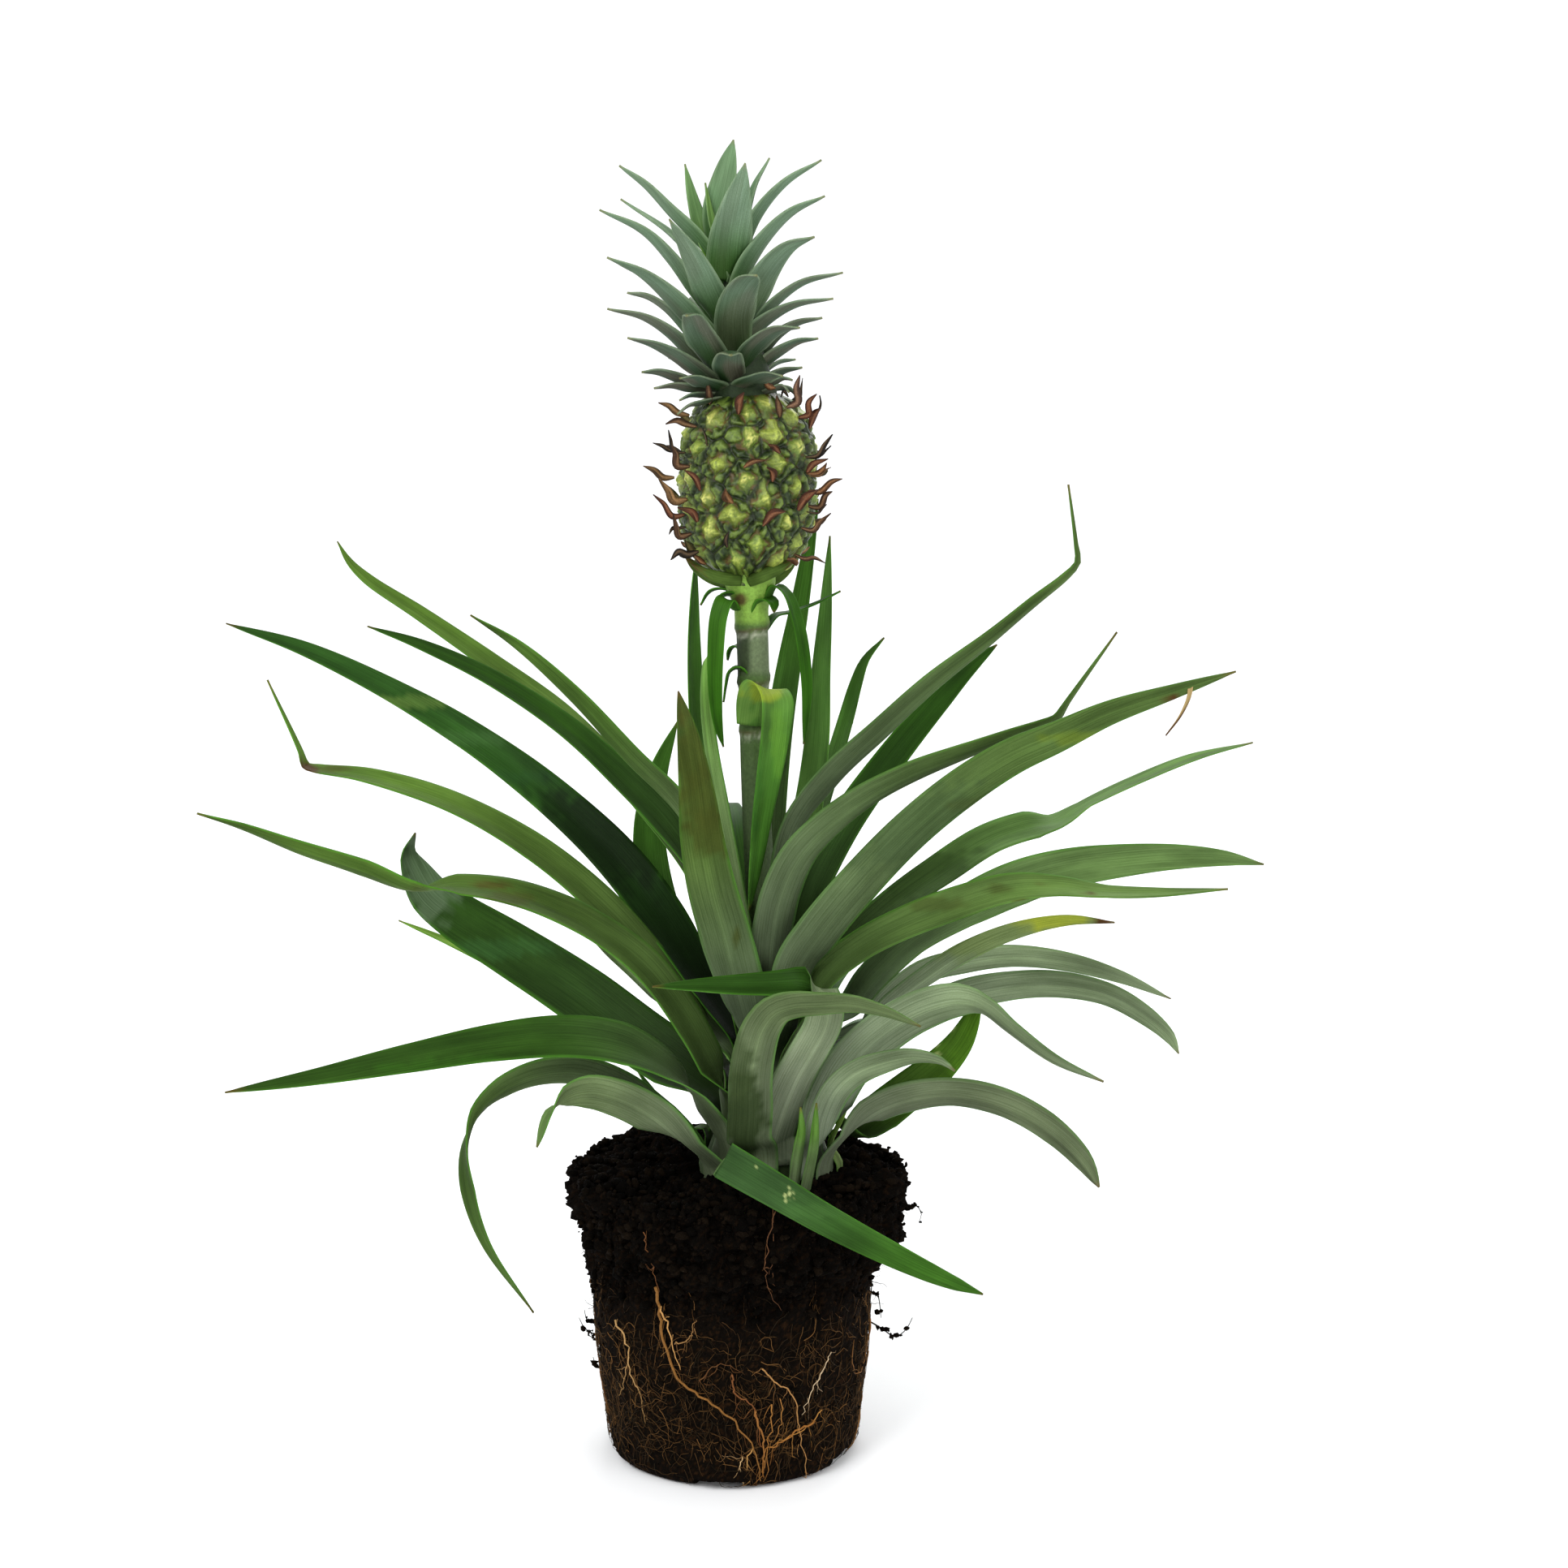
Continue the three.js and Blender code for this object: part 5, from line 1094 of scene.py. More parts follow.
# Broad bracts that hug the underside of the fruit: width, and seen points x, z and y
BASE_BRACTS = [
    (5, [(4, 319, -9), (-2, 319.2, -13), (-8, 321, -13), (-13.5, 324, -10)]),
    (5, [(6, 318.5, -9), (12, 320.5, -14), (18, 323, -13), (23.5, 326.5, -9)]),
    (6, [(2, 318.5, 6), (-5, 319.5, 10), (-11, 322.5, 12), (-16, 327, 11)]),
    (6, [(9, 318.5, 6), (15, 319.5, 10), (20, 323, 12), (24, 328, 11)]),
]


def fruit_local(point):
    """A world point in the fruit's own upright frame."""
    lean = math.radians(FRUIT_LEAN)
    x, z = point.x - FRUIT_X, point.z - FRUIT_BASE_Z
    return Vector((x * math.cos(lean) - z * math.sin(lean), point.y, x * math.sin(lean) + z * math.cos(lean)))


def on_fruit(x, z):
    """The point of the fruit's front that the eye sees in front of x and z on the stem's plane."""
    y = -FRUIT_RADIUS
    for _ in range(8):
        local = fruit_local(seen(x, z, y))
        radius = fruit_radius(clamp(local.z / FRUIT_HEIGHT, 0.03, 0.97))
        y = -math.sqrt(max(0, radius ** 2 - local.x ** 2))
    return seen(x, z, y)


def eye_places():
    """Middle of each eye as an angle and a share of the height: those in the photo, then a spiral behind."""
    eyes = []
    for x, z in FRONT_EYES:
        local = fruit_local(on_fruit(x, z))
        eyes.append((math.atan2(local.y, local.x), local.z / FRUIT_HEIGHT))
    for i in range(FRUIT_EYES):
        angle = math.radians(i * GOLDEN_ANGLE) % (2 * math.pi)
        share = 0.055 + 0.9 * ((i + 0.5) / FRUIT_EYES) ** 0.98
        radius = fruit_radius(share)
        gaps = [math.hypot(half_turn(angle - a) * radius, (share - b) * FRUIT_HEIGHT) for a, b in eyes]
        if min(gaps) > EYE_PITCH:
            eyes.append((angle, share))
    return eyes


# Painted shade in the grooves of the eyes
EYE_GROOVE_SHADE = srgb(22, 28, 10)
EYE_SEPAL = srgb(94, 114, 44)
EYE_SEPAL_DARK = srgb(30, 46, 14)
EYE_RUST = srgb(92, 62, 28)
EYE_BRACTS = (srgb(92, 116, 42), srgb(110, 122, 50))
EYE_BRACTS_PALE = (srgb(150, 168, 66), srgb(206, 204, 112))


def eye_height_and_tint(a, b, edge, seed):
    """Height and colour inside an eye, at a across and b up from its middle and edge from its rim, in mm.

    Each eye is a yellow-green bract with four drawn-out points, and dark wet sepals swell between the points.
    Painted shade darkens the grooves round each bract and along the eye's rim, and painted light makes each
    bract paler on its upper part and darker on its lower part.
    """
    bract = mix(*EYE_BRACTS, chance(seed + 31))
    bract_pale = mix(*EYE_BRACTS_PALE, chance(seed + 9))
    spin = 0.7 * (chance(seed + 50) - 0.5)
    a += 1.1 * noise_at(a * 0.3, b * 0.3, seed * 2.9)
    b += 1.1 * noise_at(a * 0.3, b * 0.3, seed * 2.9 + 40)
    p = a * math.cos(spin) + b * math.sin(spin)
    q = b * math.cos(spin) - a * math.sin(spin)
    wide = 5.4 + 1.6 * (chance(seed) - 0.5)
    tall = 5.8 + 1.8 * (chance(seed + 20) - 0.5)
    rough = noise_at(a * 0.45, b * 0.45, seed * 3.1)
    fine = noise_at(a * 1.3, b * 1.3, seed * 1.1)
    low = noise_at(a * 0.22, b * 0.22, seed * 2.3)
    star = (abs(p) / wide) ** 0.9 + (abs(q) / tall) ** 0.8 + 0.3 * rough + 0.5 * low
    inside = 1 - smoothstep(star, 0.72, 1.12)
    swell = smoothstep(star, 0.95, 1.35)
    crease = smoothstep(edge, 0.05, 1.1)
    dome = EYE_RELIEF * (1 - smoothstep(star, 0.0, 1.05))
    height = dome + 1.7 * swell * (0.2 + 0.8 * crease) + 0.8 * rough + 0.2 * fine
    tone = mix(EYE_SEPAL_DARK, EYE_SEPAL, clamp(0.35 + 1.5 * rough + 0.5 * fine, 0, 1))
    # Painted shade in the grooves round the bract and along the eye's rim.
    tone = mix(EYE_GROOVE_SHADE, tone, (0.1 + 0.9 * smoothstep(star, 0.98, 1.2)) * (0.15 + 0.85 * crease))
    # The pale middle is the bract's own colour; its rise with b and the darkening below are painted light,
    # paler on top and darker underneath.
    pale = (1 - smoothstep(star, 0.1, 0.9)) * clamp(0.6 + 1.4 * fine + 0.12 * b, 0, 1)
    green = mix(mix(bract, bract_pale, pale), EYE_SEPAL_DARK, 0.5 * smoothstep(-b, 0.5, 4))
    tone = mix(tone, green, inside)
    rusty = smoothstep(noise.noise(Vector((a, b, seed)) * 0.6), -0.1, 0.3)
    rust = math.exp(-((star - 0.95) / 0.16) ** 2) * rusty
    return height, mix(tone, EYE_RUST, 0.7 * rust)


def add_fruit():
    eyes = eye_places()
    centres = np.array([(angle, share * FRUIT_HEIGHT) for angle, share in eyes])
    verts, tint = [], []
    for r in range(FRUIT_ROWS):
        share = r / (FRUIT_ROWS - 1)
        radius = fruit_radius(clamp(share, 0.004, 0.996))
        z = share * FRUIT_HEIGHT
        dz = z - centres[:, 1]
        cap = smoothstep(share, 0.0, 0.06) * (1 - smoothstep(share, 0.95, 1.0))
        for angle in turns(FRUIT_COLUMNS):
            dx = half_turn(angle - centres[:, 0]) * max(radius, 8)
            far = np.hypot(dx, dz * 1.04)
            first, second = np.argpartition(far, 1)[:2]
            if far[first] > far[second]:
                first, second = second, first
            edge = (far[second] - far[first]) / 2
            height, tone = eye_height_and_tint(dx[first], dz[first], edge, first)
            out = max(radius - EYE_RELIEF, 8.5) + height * (0.3 + 0.7 * cap)
            verts.append(fruit_world(polar(out, angle, z)))
            tint.append(tone)
    faces = ring_faces(FRUIT_ROWS, FRUIT_COLUMNS, 2)
    make_piece("fruit_body", verts, faces, FRUIT, "fruit", "fruit", tint=tint)
    add_dried_tips(eyes)
    add_base_bracts()


def dried_blade(batch, points, width, tone, seed):
    """A thin curled strip, flat towards the eye that looks at it, dark at its rim and end."""
    curve = Curve(points)
    side = curve.tangent(0).cross(Vector((0, -1, 0)))
    side = side.normalized() if side.length > 0.05 else Vector((1, 0, 0))
    dark = scaled(tone, 0.2)
    light = mix(scaled(tone, 1.7), srgb(176, 142, 104), 0.3)

    def colour(t, u, under, point):
        streak = noise_at(u * 2.6 + 9, t * 2.5, seed * 1.3)
        middle = 1 - smoothstep(abs(u + 0.3 * streak), 0.12, 0.5)
        shade = mix(mix(dark, tone, 0.42 + streak), light, middle * 0.5)
        shade = mix(shade, dark, smoothstep(abs(u), 0.5, 0.9) * 0.8)
        return mix(shade, dark, smoothstep(t, 0.65, 1.0) * 0.7)

    verts, faces, layers = blade(
        curve, side,
        lambda t, point: max(0.3, width * math.sin(math.pi * clamp(0.1 + t * 0.88, 0, 1)) ** 0.9),
        lambda t: 0.34 * (1 if chance(seed + 3) > 0.4 else -1),
        lambda t: 80 * (chance(seed) - 0.5) * t,
        colour, step=0.7, across=10, thick=0.55, edge=0.25, ripple=0.35, seed=seed,
    )
    batch.add(verts, faces, tint=layers["tint"])


def add_dried_tips(eyes):
    """Dried bract tips that stand out of the eyes and curl: those in the photo, then others behind."""
    batch = Batch()
    for i, (path, width, tone) in enumerate(DRIED_TIPS):
        foot = on_fruit(*path[0])
        if foot.y > -8:
            inward = Vector((FRUIT_X + 3 - path[0][0], 0.25 * (352 - path[0][1]))).normalized()
            path = [(path[0][0] + 4 * inward.x, path[0][1] + 4 * inward.y), *path]
            foot = on_fruit(*path[0])
        forward = 4.5 * clamp(-foot.y / FRUIT_RADIUS, 0.1, 1)
        points = [
            seen(x, z, foot.y + 1.0 - (1.0 + forward) * k / (len(path) - 1)) for k, (x, z) in enumerate(path)
        ]
        dried_blade(batch, points, 1.1 * width, DRIED_TONES[tone], i)
    tones = list(DRIED_TONES.values())
    for i, (angle, share) in enumerate(eyes):
        if math.sin(angle) < 0.12 or chance(i + 70) > 0.6:
            continue
        out = polar(1, angle, 0.1)
        foot = polar(fruit_radius(share), angle, share * FRUIT_HEIGHT) - out
        lean = 5 * (chance(i + 100) - 0.5)
        rise = 1 + 6 * chance(i + 200)
        points = [
            fruit_world(foot + out * reach + Vector((0, 0, rise * part)) + around(angle) * lean * part)
            for reach, part in ((0, 0), (3, 0.5), (5, 1))
        ]
        dried_blade(batch, points, 1.6 + 1.2 * chance(i + 300), tones[i % len(tones)], 60 + i)
    batch.piece("dried_tips", DRIED, slot="fruit")


def add_base_bracts():
    batch = Batch()
    green, brown = srgb(64, 86, 34), srgb(70, 46, 24)
    for i, (width, path) in enumerate(BASE_BRACTS):
        curve = Curve([seen(*point) for point in path])
        side = curve.tangent(0.5).cross(Vector((0, -1, 0.5))).normalized()

        def colour(t, u, under, point):
            grain = noise_at(u * 2, t * 5, i)
            return mix(scaled(green, 1 + 0.4 * grain), brown, smoothstep(t + 0.3 * grain, 0.7, 0.95) * 0.9)

        batch.add_blade(
            curve, side,
            lambda t, point: max(0.5, width * max(0, 1 - t ** 2.4) ** 0.8),
            lambda t: 0.2,
            lambda t: 0,
            colour, step=1.0, across=8, thick=0.9, edge=0.4, ripple=0.2, seed=i,
        )
    batch.piece("base_bracts", BRACT, slot="bract")


# Crown leaves from the top down, the last seven at the back
CROWN_LEAVES = [
    Leaf(170, 4.5, [(-2, 431, 1), (-6, 443, 2), (-8.3, 456, 3)]),
    Leaf(80, 11.5, [(-1.5, 428, 2), (-3.5, 445, 4), (-1, 459, 6), (1.6, 470.4, 7)]),
    Leaf(150, 8, [(-3, 427, 1), (-9.3, 439.5, 3), (-12.7, 450.7, 6), (-15.3, 462.3, 9)]),
    Leaf(40, 7, [(1.5, 428, 2), (5.7, 442, 6), (9.2, 455.9, 11), (14, 464.3, 16)]),
    Leaf(290, 16, [(-0.5, 424, -3), (0.2, 437.8, -9), (2.6, 450.7, -14), (5.6, 462.6, -18)]),
    Leaf(172, 13, [(-1, 425, 0), (-9.3, 437, 1), (-20.7, 448.5, 2), (-29.4, 456.8, 3), (-38, 461.8, 4)]),
    Leaf(5, 12, [(1, 424, 0), (5.5, 436, 1), (11, 448, 2), (20, 457.6, 3), (32, 463.7, 4)]),
    Leaf(150, 9, [(-3, 421, 3), (-13, 432.5, 9), (-22, 441, 15), (-37.6, 450.4, 20)]),
    Leaf(350, 12.5, [(2, 417, -1), (5, 427, -3), (11.5, 438, -5), (21.5, 447.3, -6), (33.2, 451.5, -7)]),
    Leaf(185, 12.5, [(-3, 408, 0), (-12, 420, -1), (-20.8, 432.5, -2), (-30, 441, -3), (-45, 446.8, -4)]),
    Leaf(235, 13.5, [(-2, 408, -5), (-6.5, 420, -13), (-13, 433, -20), (-20.8, 443.6, -27)]),
    Leaf(325, 15, [(4, 406, -3), (7, 417, -9), (12.5, 428, -14), (20.5, 435.8, -19), (29.6, 437.6, -23)]),
    Leaf(10, 10.5, [(5, 402, 1), (9, 409, 2), (17, 417.5, 4), (26, 423.2, 5), (39.5, 425.4, 7)]),
    Leaf(205, 13, [(-3, 400, -3), (-11, 410, -7), (-20.5, 420, -12), (-30.5, 426.8, -16),
        (-42.5, 430.6, -20)]),
    Leaf(150, 9, [(-6, 406, 5), (-17, 417.5, 11), (-28, 424.5, 16), (-38.2, 428.2, 20)]),
    Leaf(285, 14.5, [(2.5, 398, -7), (1.6, 410, -15), (3.4, 419, -22), (7, 424.2, -30), (9.5, 424.4, -37)]),
    Leaf(350, 11, [(4, 399, -2), (8, 406.5, -4), (15, 412.5, -6), (23.5, 415.8, -8), (36.2, 416.5, -9)]),
    Leaf(165, 10, [(-7, 396, 3), (-14, 405.5, 5), (-22, 414.5, 7), (-28.8, 418.2, 9), (-35.6, 418.5, 11)]),
    Leaf(190, 11.5, [(-6, 391, -1), (-14, 400, -3), (-21, 406.8, -5), (-30, 411.4, -6), (-42.6, 413, -8)]),
    Leaf(0, 9, [(7, 393, 0), (12.7, 400.4, 0), (18, 406.2, 0), (24.2, 409.2, 0), (32.4, 409.9, 0)]),
    Leaf(245, 13, [(-3.5, 391, -8), (-7.5, 400.5, -17), (-11, 407.5, -25), (-13.2, 411.8, -33),
        (-15, 410.5, -40)]),
    Leaf(315, 11, [(4.5, 393, -8), (8.5, 402, -15), (16.5, 407.3, -22), (24.5, 406.5, -28)]),
    Leaf(355, 9, [(7, 389, -1), (12.7, 396.1, -1), (18.9, 400.6, -2), (24.4, 402.8, -3), (31, 402.8, -4)]),
    Leaf(205, 11, [(-4, 387.5, -4), (-9.5, 392.5, -8), (-17, 398, -12), (-26.3, 401.9, -17),
        (-35.6, 403, -21)]),
    Leaf(145, 8, [(-6, 389, 7), (-13, 396, 12), (-20, 400, 17), (-28.2, 401, 21)]),
    Leaf(45, 7, [(8, 387.5, 6), (13.6, 393.4, 10), (17.5, 395.4, 14), (23, 395.5, 18)]),
    Leaf(350, 9, [(7, 386.5, -2), (13.6, 390.4, -3), (19, 392.9, -4), (25.4, 392.8, -6)]),
    Leaf(268, 11.5, [(0.8, 387.5, -10), (-0.5, 393.5, -18), (0, 398, -26), (0.5, 396.8, -34)]),
    Leaf(185, 9, [(-7, 386, -1), (-14, 388.6, -2), (-19.4, 391, -3), (-25.5, 392.2, -4), (-30.8, 391.2, -5)]),
    Leaf(305, 10, [(4, 386.5, -9), (8.5, 390, -17), (14.5, 391.6, -23), (18.5, 389.8, -28)]),
    Leaf(228, 10, [(-3, 386.3, -8), (-8.5, 389.2, -15), (-13.8, 390.6, -21), (-17.5, 389, -26)]),
    Leaf(195, 8, [(-7, 385.8, -3), (-14, 387.2, -5), (-20, 387.6, -7), (-26.5, 385.6, -9)]),
    Leaf(75, 12, [(1, 417, 2), (3, 430, 9), (5, 441, 17), (7, 447, 27)]),
    Leaf(110, 13, [(0, 408, 4), (-1, 421, 13), (-3, 432, 23), (-5, 437, 35)]),
    Leaf(65, 13, [(4, 400, 6), (7, 413, 16), (10, 422, 26), (13, 425, 38)]),
    Leaf(130, 12, [(-3, 396, 6), (-7, 408, 16), (-11, 415, 26), (-14, 416, 37)]),
    Leaf(85, 12, [(3, 392, 8), (4, 403, 20), (5, 409, 31), (6, 409, 42)]),
    Leaf(105, 10, [(1, 388, 10), (0, 394, 19), (-1, 397, 28), (-2, 395, 37)]),
    Leaf(100, 7, [(2, 386, 10), (1, 388.5, 18), (0, 389, 25), (0, 387, 31)]),
]

# Small lowest crown leaves that hook out over the fruit
CROWN_HOOKS = [
    Leaf(350, 4, [(9, 384.5, -5), (15, 387.8, -8), (19, 389.6, -9), (22, 388.4, -10)]),
    Leaf(340, 4, [(8, 383.5, -6), (14, 385.5, -10), (18.5, 387, -12), (20.8, 384.2, -14)]),
    Leaf(10, 4, [(9, 384.5, 3), (16, 386.2, 4), (21, 385.8, 5), (23.5, 382.8, 5)]),
    Leaf(200, 6, [(-2, 384, -5), (-8.6, 384.4, -8), (-13.9, 384, -10), (-17.6, 381.4, -12)]),
    Leaf(215, 6, [(-3, 382.5, -8), (-9.5, 381.8, -13), (-14, 380.6, -16), (-18.4, 376.6, -18)]),
    Leaf(150, 5, [(-6, 391, 4), (-14, 394.3, 8), (-18, 396, 10), (-21.3, 396.1, 12)]),
]

# Upper crown leaves whose face is turned to the front, and the bearing that it is turned to
CROWN_FACING = {0: 105, 2: 100, 7: 125}

# Rings of the crown's core over its height, and those sunk into the fruit below it
CORE_RINGS = 12
CORE_SUNK_RINGS = 2
CORE_SIDES = 24


def crown_core_radius(share):
    return lerp(CROWN_CORE_RADIUS, 2.2, share ** 0.8)


def crown_world(point):
    """A point of the crown core's own upright frame as a world point."""
    return leant(point, CROWN_LEAN, CROWN_X, CROWN_BASE_Z)


def crown_width(leaf, t):
    """Width of a crown leaf. Those at the sides and at the front come to their point sooner."""
    bearing = math.radians(leaf.bearing)
    front = max(0, -math.sin(bearing))
    full = 3.2 - 1.3 * abs(math.cos(bearing)) - 0.8 * front
    taper = max(0, 1 - t ** full) ** 0.9
    return max(0.5, leaf.width * (1 + 0.1 * front) * taper * (0.75 + 0.25 * min(1, 2.5 * t)))


CROWN_BLUSH = srgb(92, 84, 74)
# Crown leaves with the bright green of young growth, and its share
CROWN_YOUNG = {0: 0.8, 2: 0.4}


def crown_tone(leaf, seed):
    """Bluish green, darker low on the crown, with a light powdery rim. Except on young leaves, painted shade
    darkens it towards its foot in the crown's heart.
    """
    height = smoothstep(leaf.path[-1][1], 388, 462)
    top = mix(srgb(52, 74, 48), srgb(96, 126, 90), height)
    low = mix(srgb(66, 82, 66), srgb(98, 122, 96), height)
    # The dark foot is painted shade in the crown's heart, where the leaves overlap.
    foot = mix(srgb(30, 50, 24), srgb(62, 98, 44), height)
    rim, tip = srgb(136, 158, 122), srgb(112, 112, 74)
    if seed in CROWN_YOUNG:
        top = low = mix(top, srgb(96, 134, 58), CROWN_YOUNG[seed])
        foot = srgb(96, 140, 50)

    def colour(t, u, under, point):
        tone = mix(foot, low if under else top, smoothstep(t, 0.1, 0.6))
        blush = smoothstep(noise_at(u, t * 2, seed + 5), -0.2, 0.3)
        tone = mix(tone, CROWN_BLUSH, 0.5 * (1 - 0.8 * height) * blush)
        tone = scaled(tone, 1 + 0.24 * noise_at(u * 1.4, t * 3, seed))
        tone = mix(tone, rim, smoothstep(abs(u), 0.86, 0.98) * 0.35)
        return mix(tone, tip, smoothstep(t, 0.94, 1.0) * 0.7)

    return colour


def add_crown_leaf(batch, number, leaf):
    bearing = math.radians(leaf.bearing)
    facing = math.radians(CROWN_FACING.get(number, leaf.bearing))
    front = max(0, -math.sin(bearing))
    sideways = abs(math.cos(bearing))
    roll = -CROWN_TURN * sideways * (1 if math.cos(bearing) >= 0 else -1)
    last = len(leaf.path) - 1
    points = [
        seen(*point) - Vector((0, 0, CROWN_HANG * sideways * crown_width(leaf, k / last)))
        for k, point in enumerate(leaf.path)
    ]
    batch.add_blade(
        Curve(points),
        around(facing),
        lambda t, point: crown_width(leaf, t),
        lambda t: CROWN_CUP * (1 - 0.5 * t) * (1 - 1.4 * front * smoothstep(t, 0.05, 0.45)),
        lambda t: roll * min(1, 3 * t),
        crown_tone(leaf, number),
        step=1.3, across=10, thick=1.0, edge=0.4, ripple=0.1, seed=number,
    )


def add_crown():
    batch = Batch()
    for number, leaf in enumerate(CROWN_LEAVES + CROWN_HOOKS):
        add_crown_leaf(batch, number, leaf)
    batch.piece("crown_blades", CROWN, node="crown", slot="crown")
    verts = []
    for k in range(-CORE_SUNK_RINGS, CORE_RINGS + 1):
        share = k / CORE_RINGS
        radius = crown_core_radius(max(0, share)) - 0.5
        verts += [crown_world(polar(radius, angle, share * CROWN_CORE_HEIGHT)) for angle in turns(CORE_SIDES)]
    faces = ring_faces(CORE_SUNK_RINGS + CORE_RINGS + 1, CORE_SIDES, 2)
    make_piece("crown_core", verts, faces, STALK, slot="crown", tint=[srgb(34, 48, 26)] * len(verts))


# Root ball

def soil_bulge(angle, z):
    """How far the side of the ball stands out of its plain shape."""
    loose = smoothstep(z, BALL_LOOSE_FROM - 4, BALL_LOOSE_FROM + 8)
    lumps = 0.9 * math.sin(3 * angle + 0.07 * z) + 0.7 * math.sin(7 * angle - 0.11 * z + 1)
    crumbs = 1.3 * math.sin(11 * angle + 2) * math.sin(0.35 * z) + 1.1 * math.sin(17 * angle + 0.2 * z)
    right = 4 * max(0, math.cos(angle + 0.15)) ** 3
    left = 4 * max(0, -math.cos(angle)) ** 2 * smoothstep(100 - z, 0, 18)
    return lumps * 0.6 + loose * (crumbs + (right - left))


def ball_radius(z):
    """Plain radius of the ball at a height: a rounded foot, a slanted side and a wider loose rim."""
    side = lerp(BALL_BASE_RADIUS + 1, BALL_WAIST_RADIUS, clamp(z / BALL_LOOSE_FROM, 0, 1))
    loose = smoothstep(z, BALL_LOOSE_FROM - 2, BALL_LOOSE_FROM + 12)
    foot = 0
    if z < BALL_FOOT_ROUND:
        foot = BALL_FOOT_ROUND * (1 - math.sqrt(1 - (1 - z / BALL_FOOT_ROUND) ** 2))
    return side + loose * (BALL_TOP_RADIUS - BALL_WAIST_RADIUS) - foot


def soil_top(angle, share):
    """Height of the top of the ball at an angle and a share of its radius."""
    lumps = 1.6 * math.sin(5 * angle + 3 * share) + 1.2 * math.sin(9 * angle - 2 * share + 1)
    return BALL_HEIGHT + lumps * (0.4 + 0.6 * share) - 2.5 * share ** 4


def soil_grain(point, coarse, fine):
    """Crumbly relief in millimetres at a point."""
    lump = noise.noise(point * 0.13) * coarse * 1.3
    clods = (0.5 - noise.voronoi(point * 0.2)[0][0]) * coarse * 1.2
    crumb = (0.4 - noise.voronoi(point * 0.5)[0][0]) * fine * 1.6
    return lump + clods + crumb + noise.noise(point * 1.1) * fine * 0.6


def in_notch(angle, z):
    """Whether a place is in one of the notches that the pot's foot left."""
    if z > FOOT_NOTCH_TALL:
        return False
    for k in range(FOOT_NOTCHES):
        middle = math.radians(FOOT_NOTCH_ANGLE + 360 * k / FOOT_NOTCHES)
        if abs(half_turn(angle - middle)) * BALL_BASE_RADIUS < FOOT_NOTCH_WIDE / 2:
            return True
    return False


SOIL_BLACK = srgb(5, 4, 3)
SOIL_BROWN = srgb(16, 11, 7)
SOIL_RUST = srgb(60, 38, 18)


def soil_tint(point, z):
    """Black with brown patches, and rusty flecks that are stronger low on the side."""
    low = 1 - smoothstep(z, 42, 80)
    patch = noise.noise(point * 0.12) * 0.5 + 0.5
    fleck = smoothstep(noise.noise(point * 0.9), 0.1, 0.5)
    tone = mix(SOIL_BLACK, SOIL_BROWN, 0.35 * patch + 0.3 * low)
    return mix(tone, SOIL_RUST, fleck * (0.12 + 0.4 * low * patch))


SOIL_SIDES = 420
SOIL_SIDE_RINGS = 120
SOIL_TOP_RINGS = 44
NOTCH_DEPTH = 8


def add_soil():
    verts, tint = [], []
    for k in range(SOIL_SIDE_RINGS):
        z = k * BALL_HEIGHT / SOIL_SIDE_RINGS
        loose = smoothstep(z, BALL_LOOSE_FROM - 14, BALL_LOOSE_FROM + 6)
        for angle in turns(SOIL_SIDES):
            radius = ball_radius(z) + (0 if z < 1 else soil_bulge(angle, z))
            flat = polar(radius, angle, z)
            grain = soil_grain(flat, lerp(0.5, 3.2, loose), lerp(0.5, 1.5, loose))
            if in_notch(angle, z):
                radius -= NOTCH_DEPTH
            verts.append(polar(radius + grain * min(1, z / 3), angle, z))
            tint.append(soil_tint(flat, z))
    rim = ball_radius(BALL_HEIGHT)
    for k in range(SOIL_TOP_RINGS - 1):
        share = 1 - k / SOIL_TOP_RINGS
        for angle in turns(SOIL_SIDES):
            radius = (rim - 1.5 + soil_bulge(angle, BALL_HEIGHT)) * share
            flat = polar(radius, angle, BALL_HEIGHT)
            z = soil_top(angle, share) + soil_grain(flat, 3.0, 1.6)
            verts.append(Vector((flat.x, flat.y, z)))
            tint.append(soil_tint(flat, BALL_HEIGHT))
    faces = ring_faces(SOIL_SIDE_RINGS + SOIL_TOP_RINGS - 1, SOIL_SIDES, 2)
    make_piece("soil", verts, faces, SOIL, "root_ball", "soil", tint=tint)


def lump_shape():
    """Points and faces of a small ball, as a start for crumbs."""
    shape = bmesh.new()
    bmesh.ops.create_icosphere(shape, subdivisions=1, radius=1)
    points = [v.co.copy() for v in shape.verts]
    faces = [tuple(v.index for v in f.verts) for f in shape.faces]
    shape.free()
    return points, faces


LUMP_POINTS, LUMP_FACES = lump_shape()
RIM_CRUMBS = 3000
SIDE_CRUMBS = 500
TOP_CRUMBS = 1700
CRUMB_SEED = 7
HAIR_DEPTH = -4
CRUMB_BLACK = srgb(4, 3, 2)
CRUMB_BROWN = srgb(20, 14, 8)


def add_crumb(batch, draw, place, size, brownness):
    """A crumb of random shape, whose colour goes from black at 0 to brown at 1."""
    shift = Vector([draw.random() * 50 for _ in range(3)])
    stretch = Vector((draw.uniform(0.6, 1.3), draw.uniform(0.6, 1.3), draw.uniform(0.5, 1.1)))
    verts = []
    for p in LUMP_POINTS:
        bumpy = 1 + 0.7 * noise.noise(p * 1.7 + shift)
        verts.append(place + Vector((p.x * stretch.x, p.y * stretch.y, p.z * stretch.z)) * size * bumpy)
    tone = mix(CRUMB_BLACK, CRUMB_BROWN, brownness)
    batch.add(verts, LUMP_FACES, tint=[tone] * len(verts))


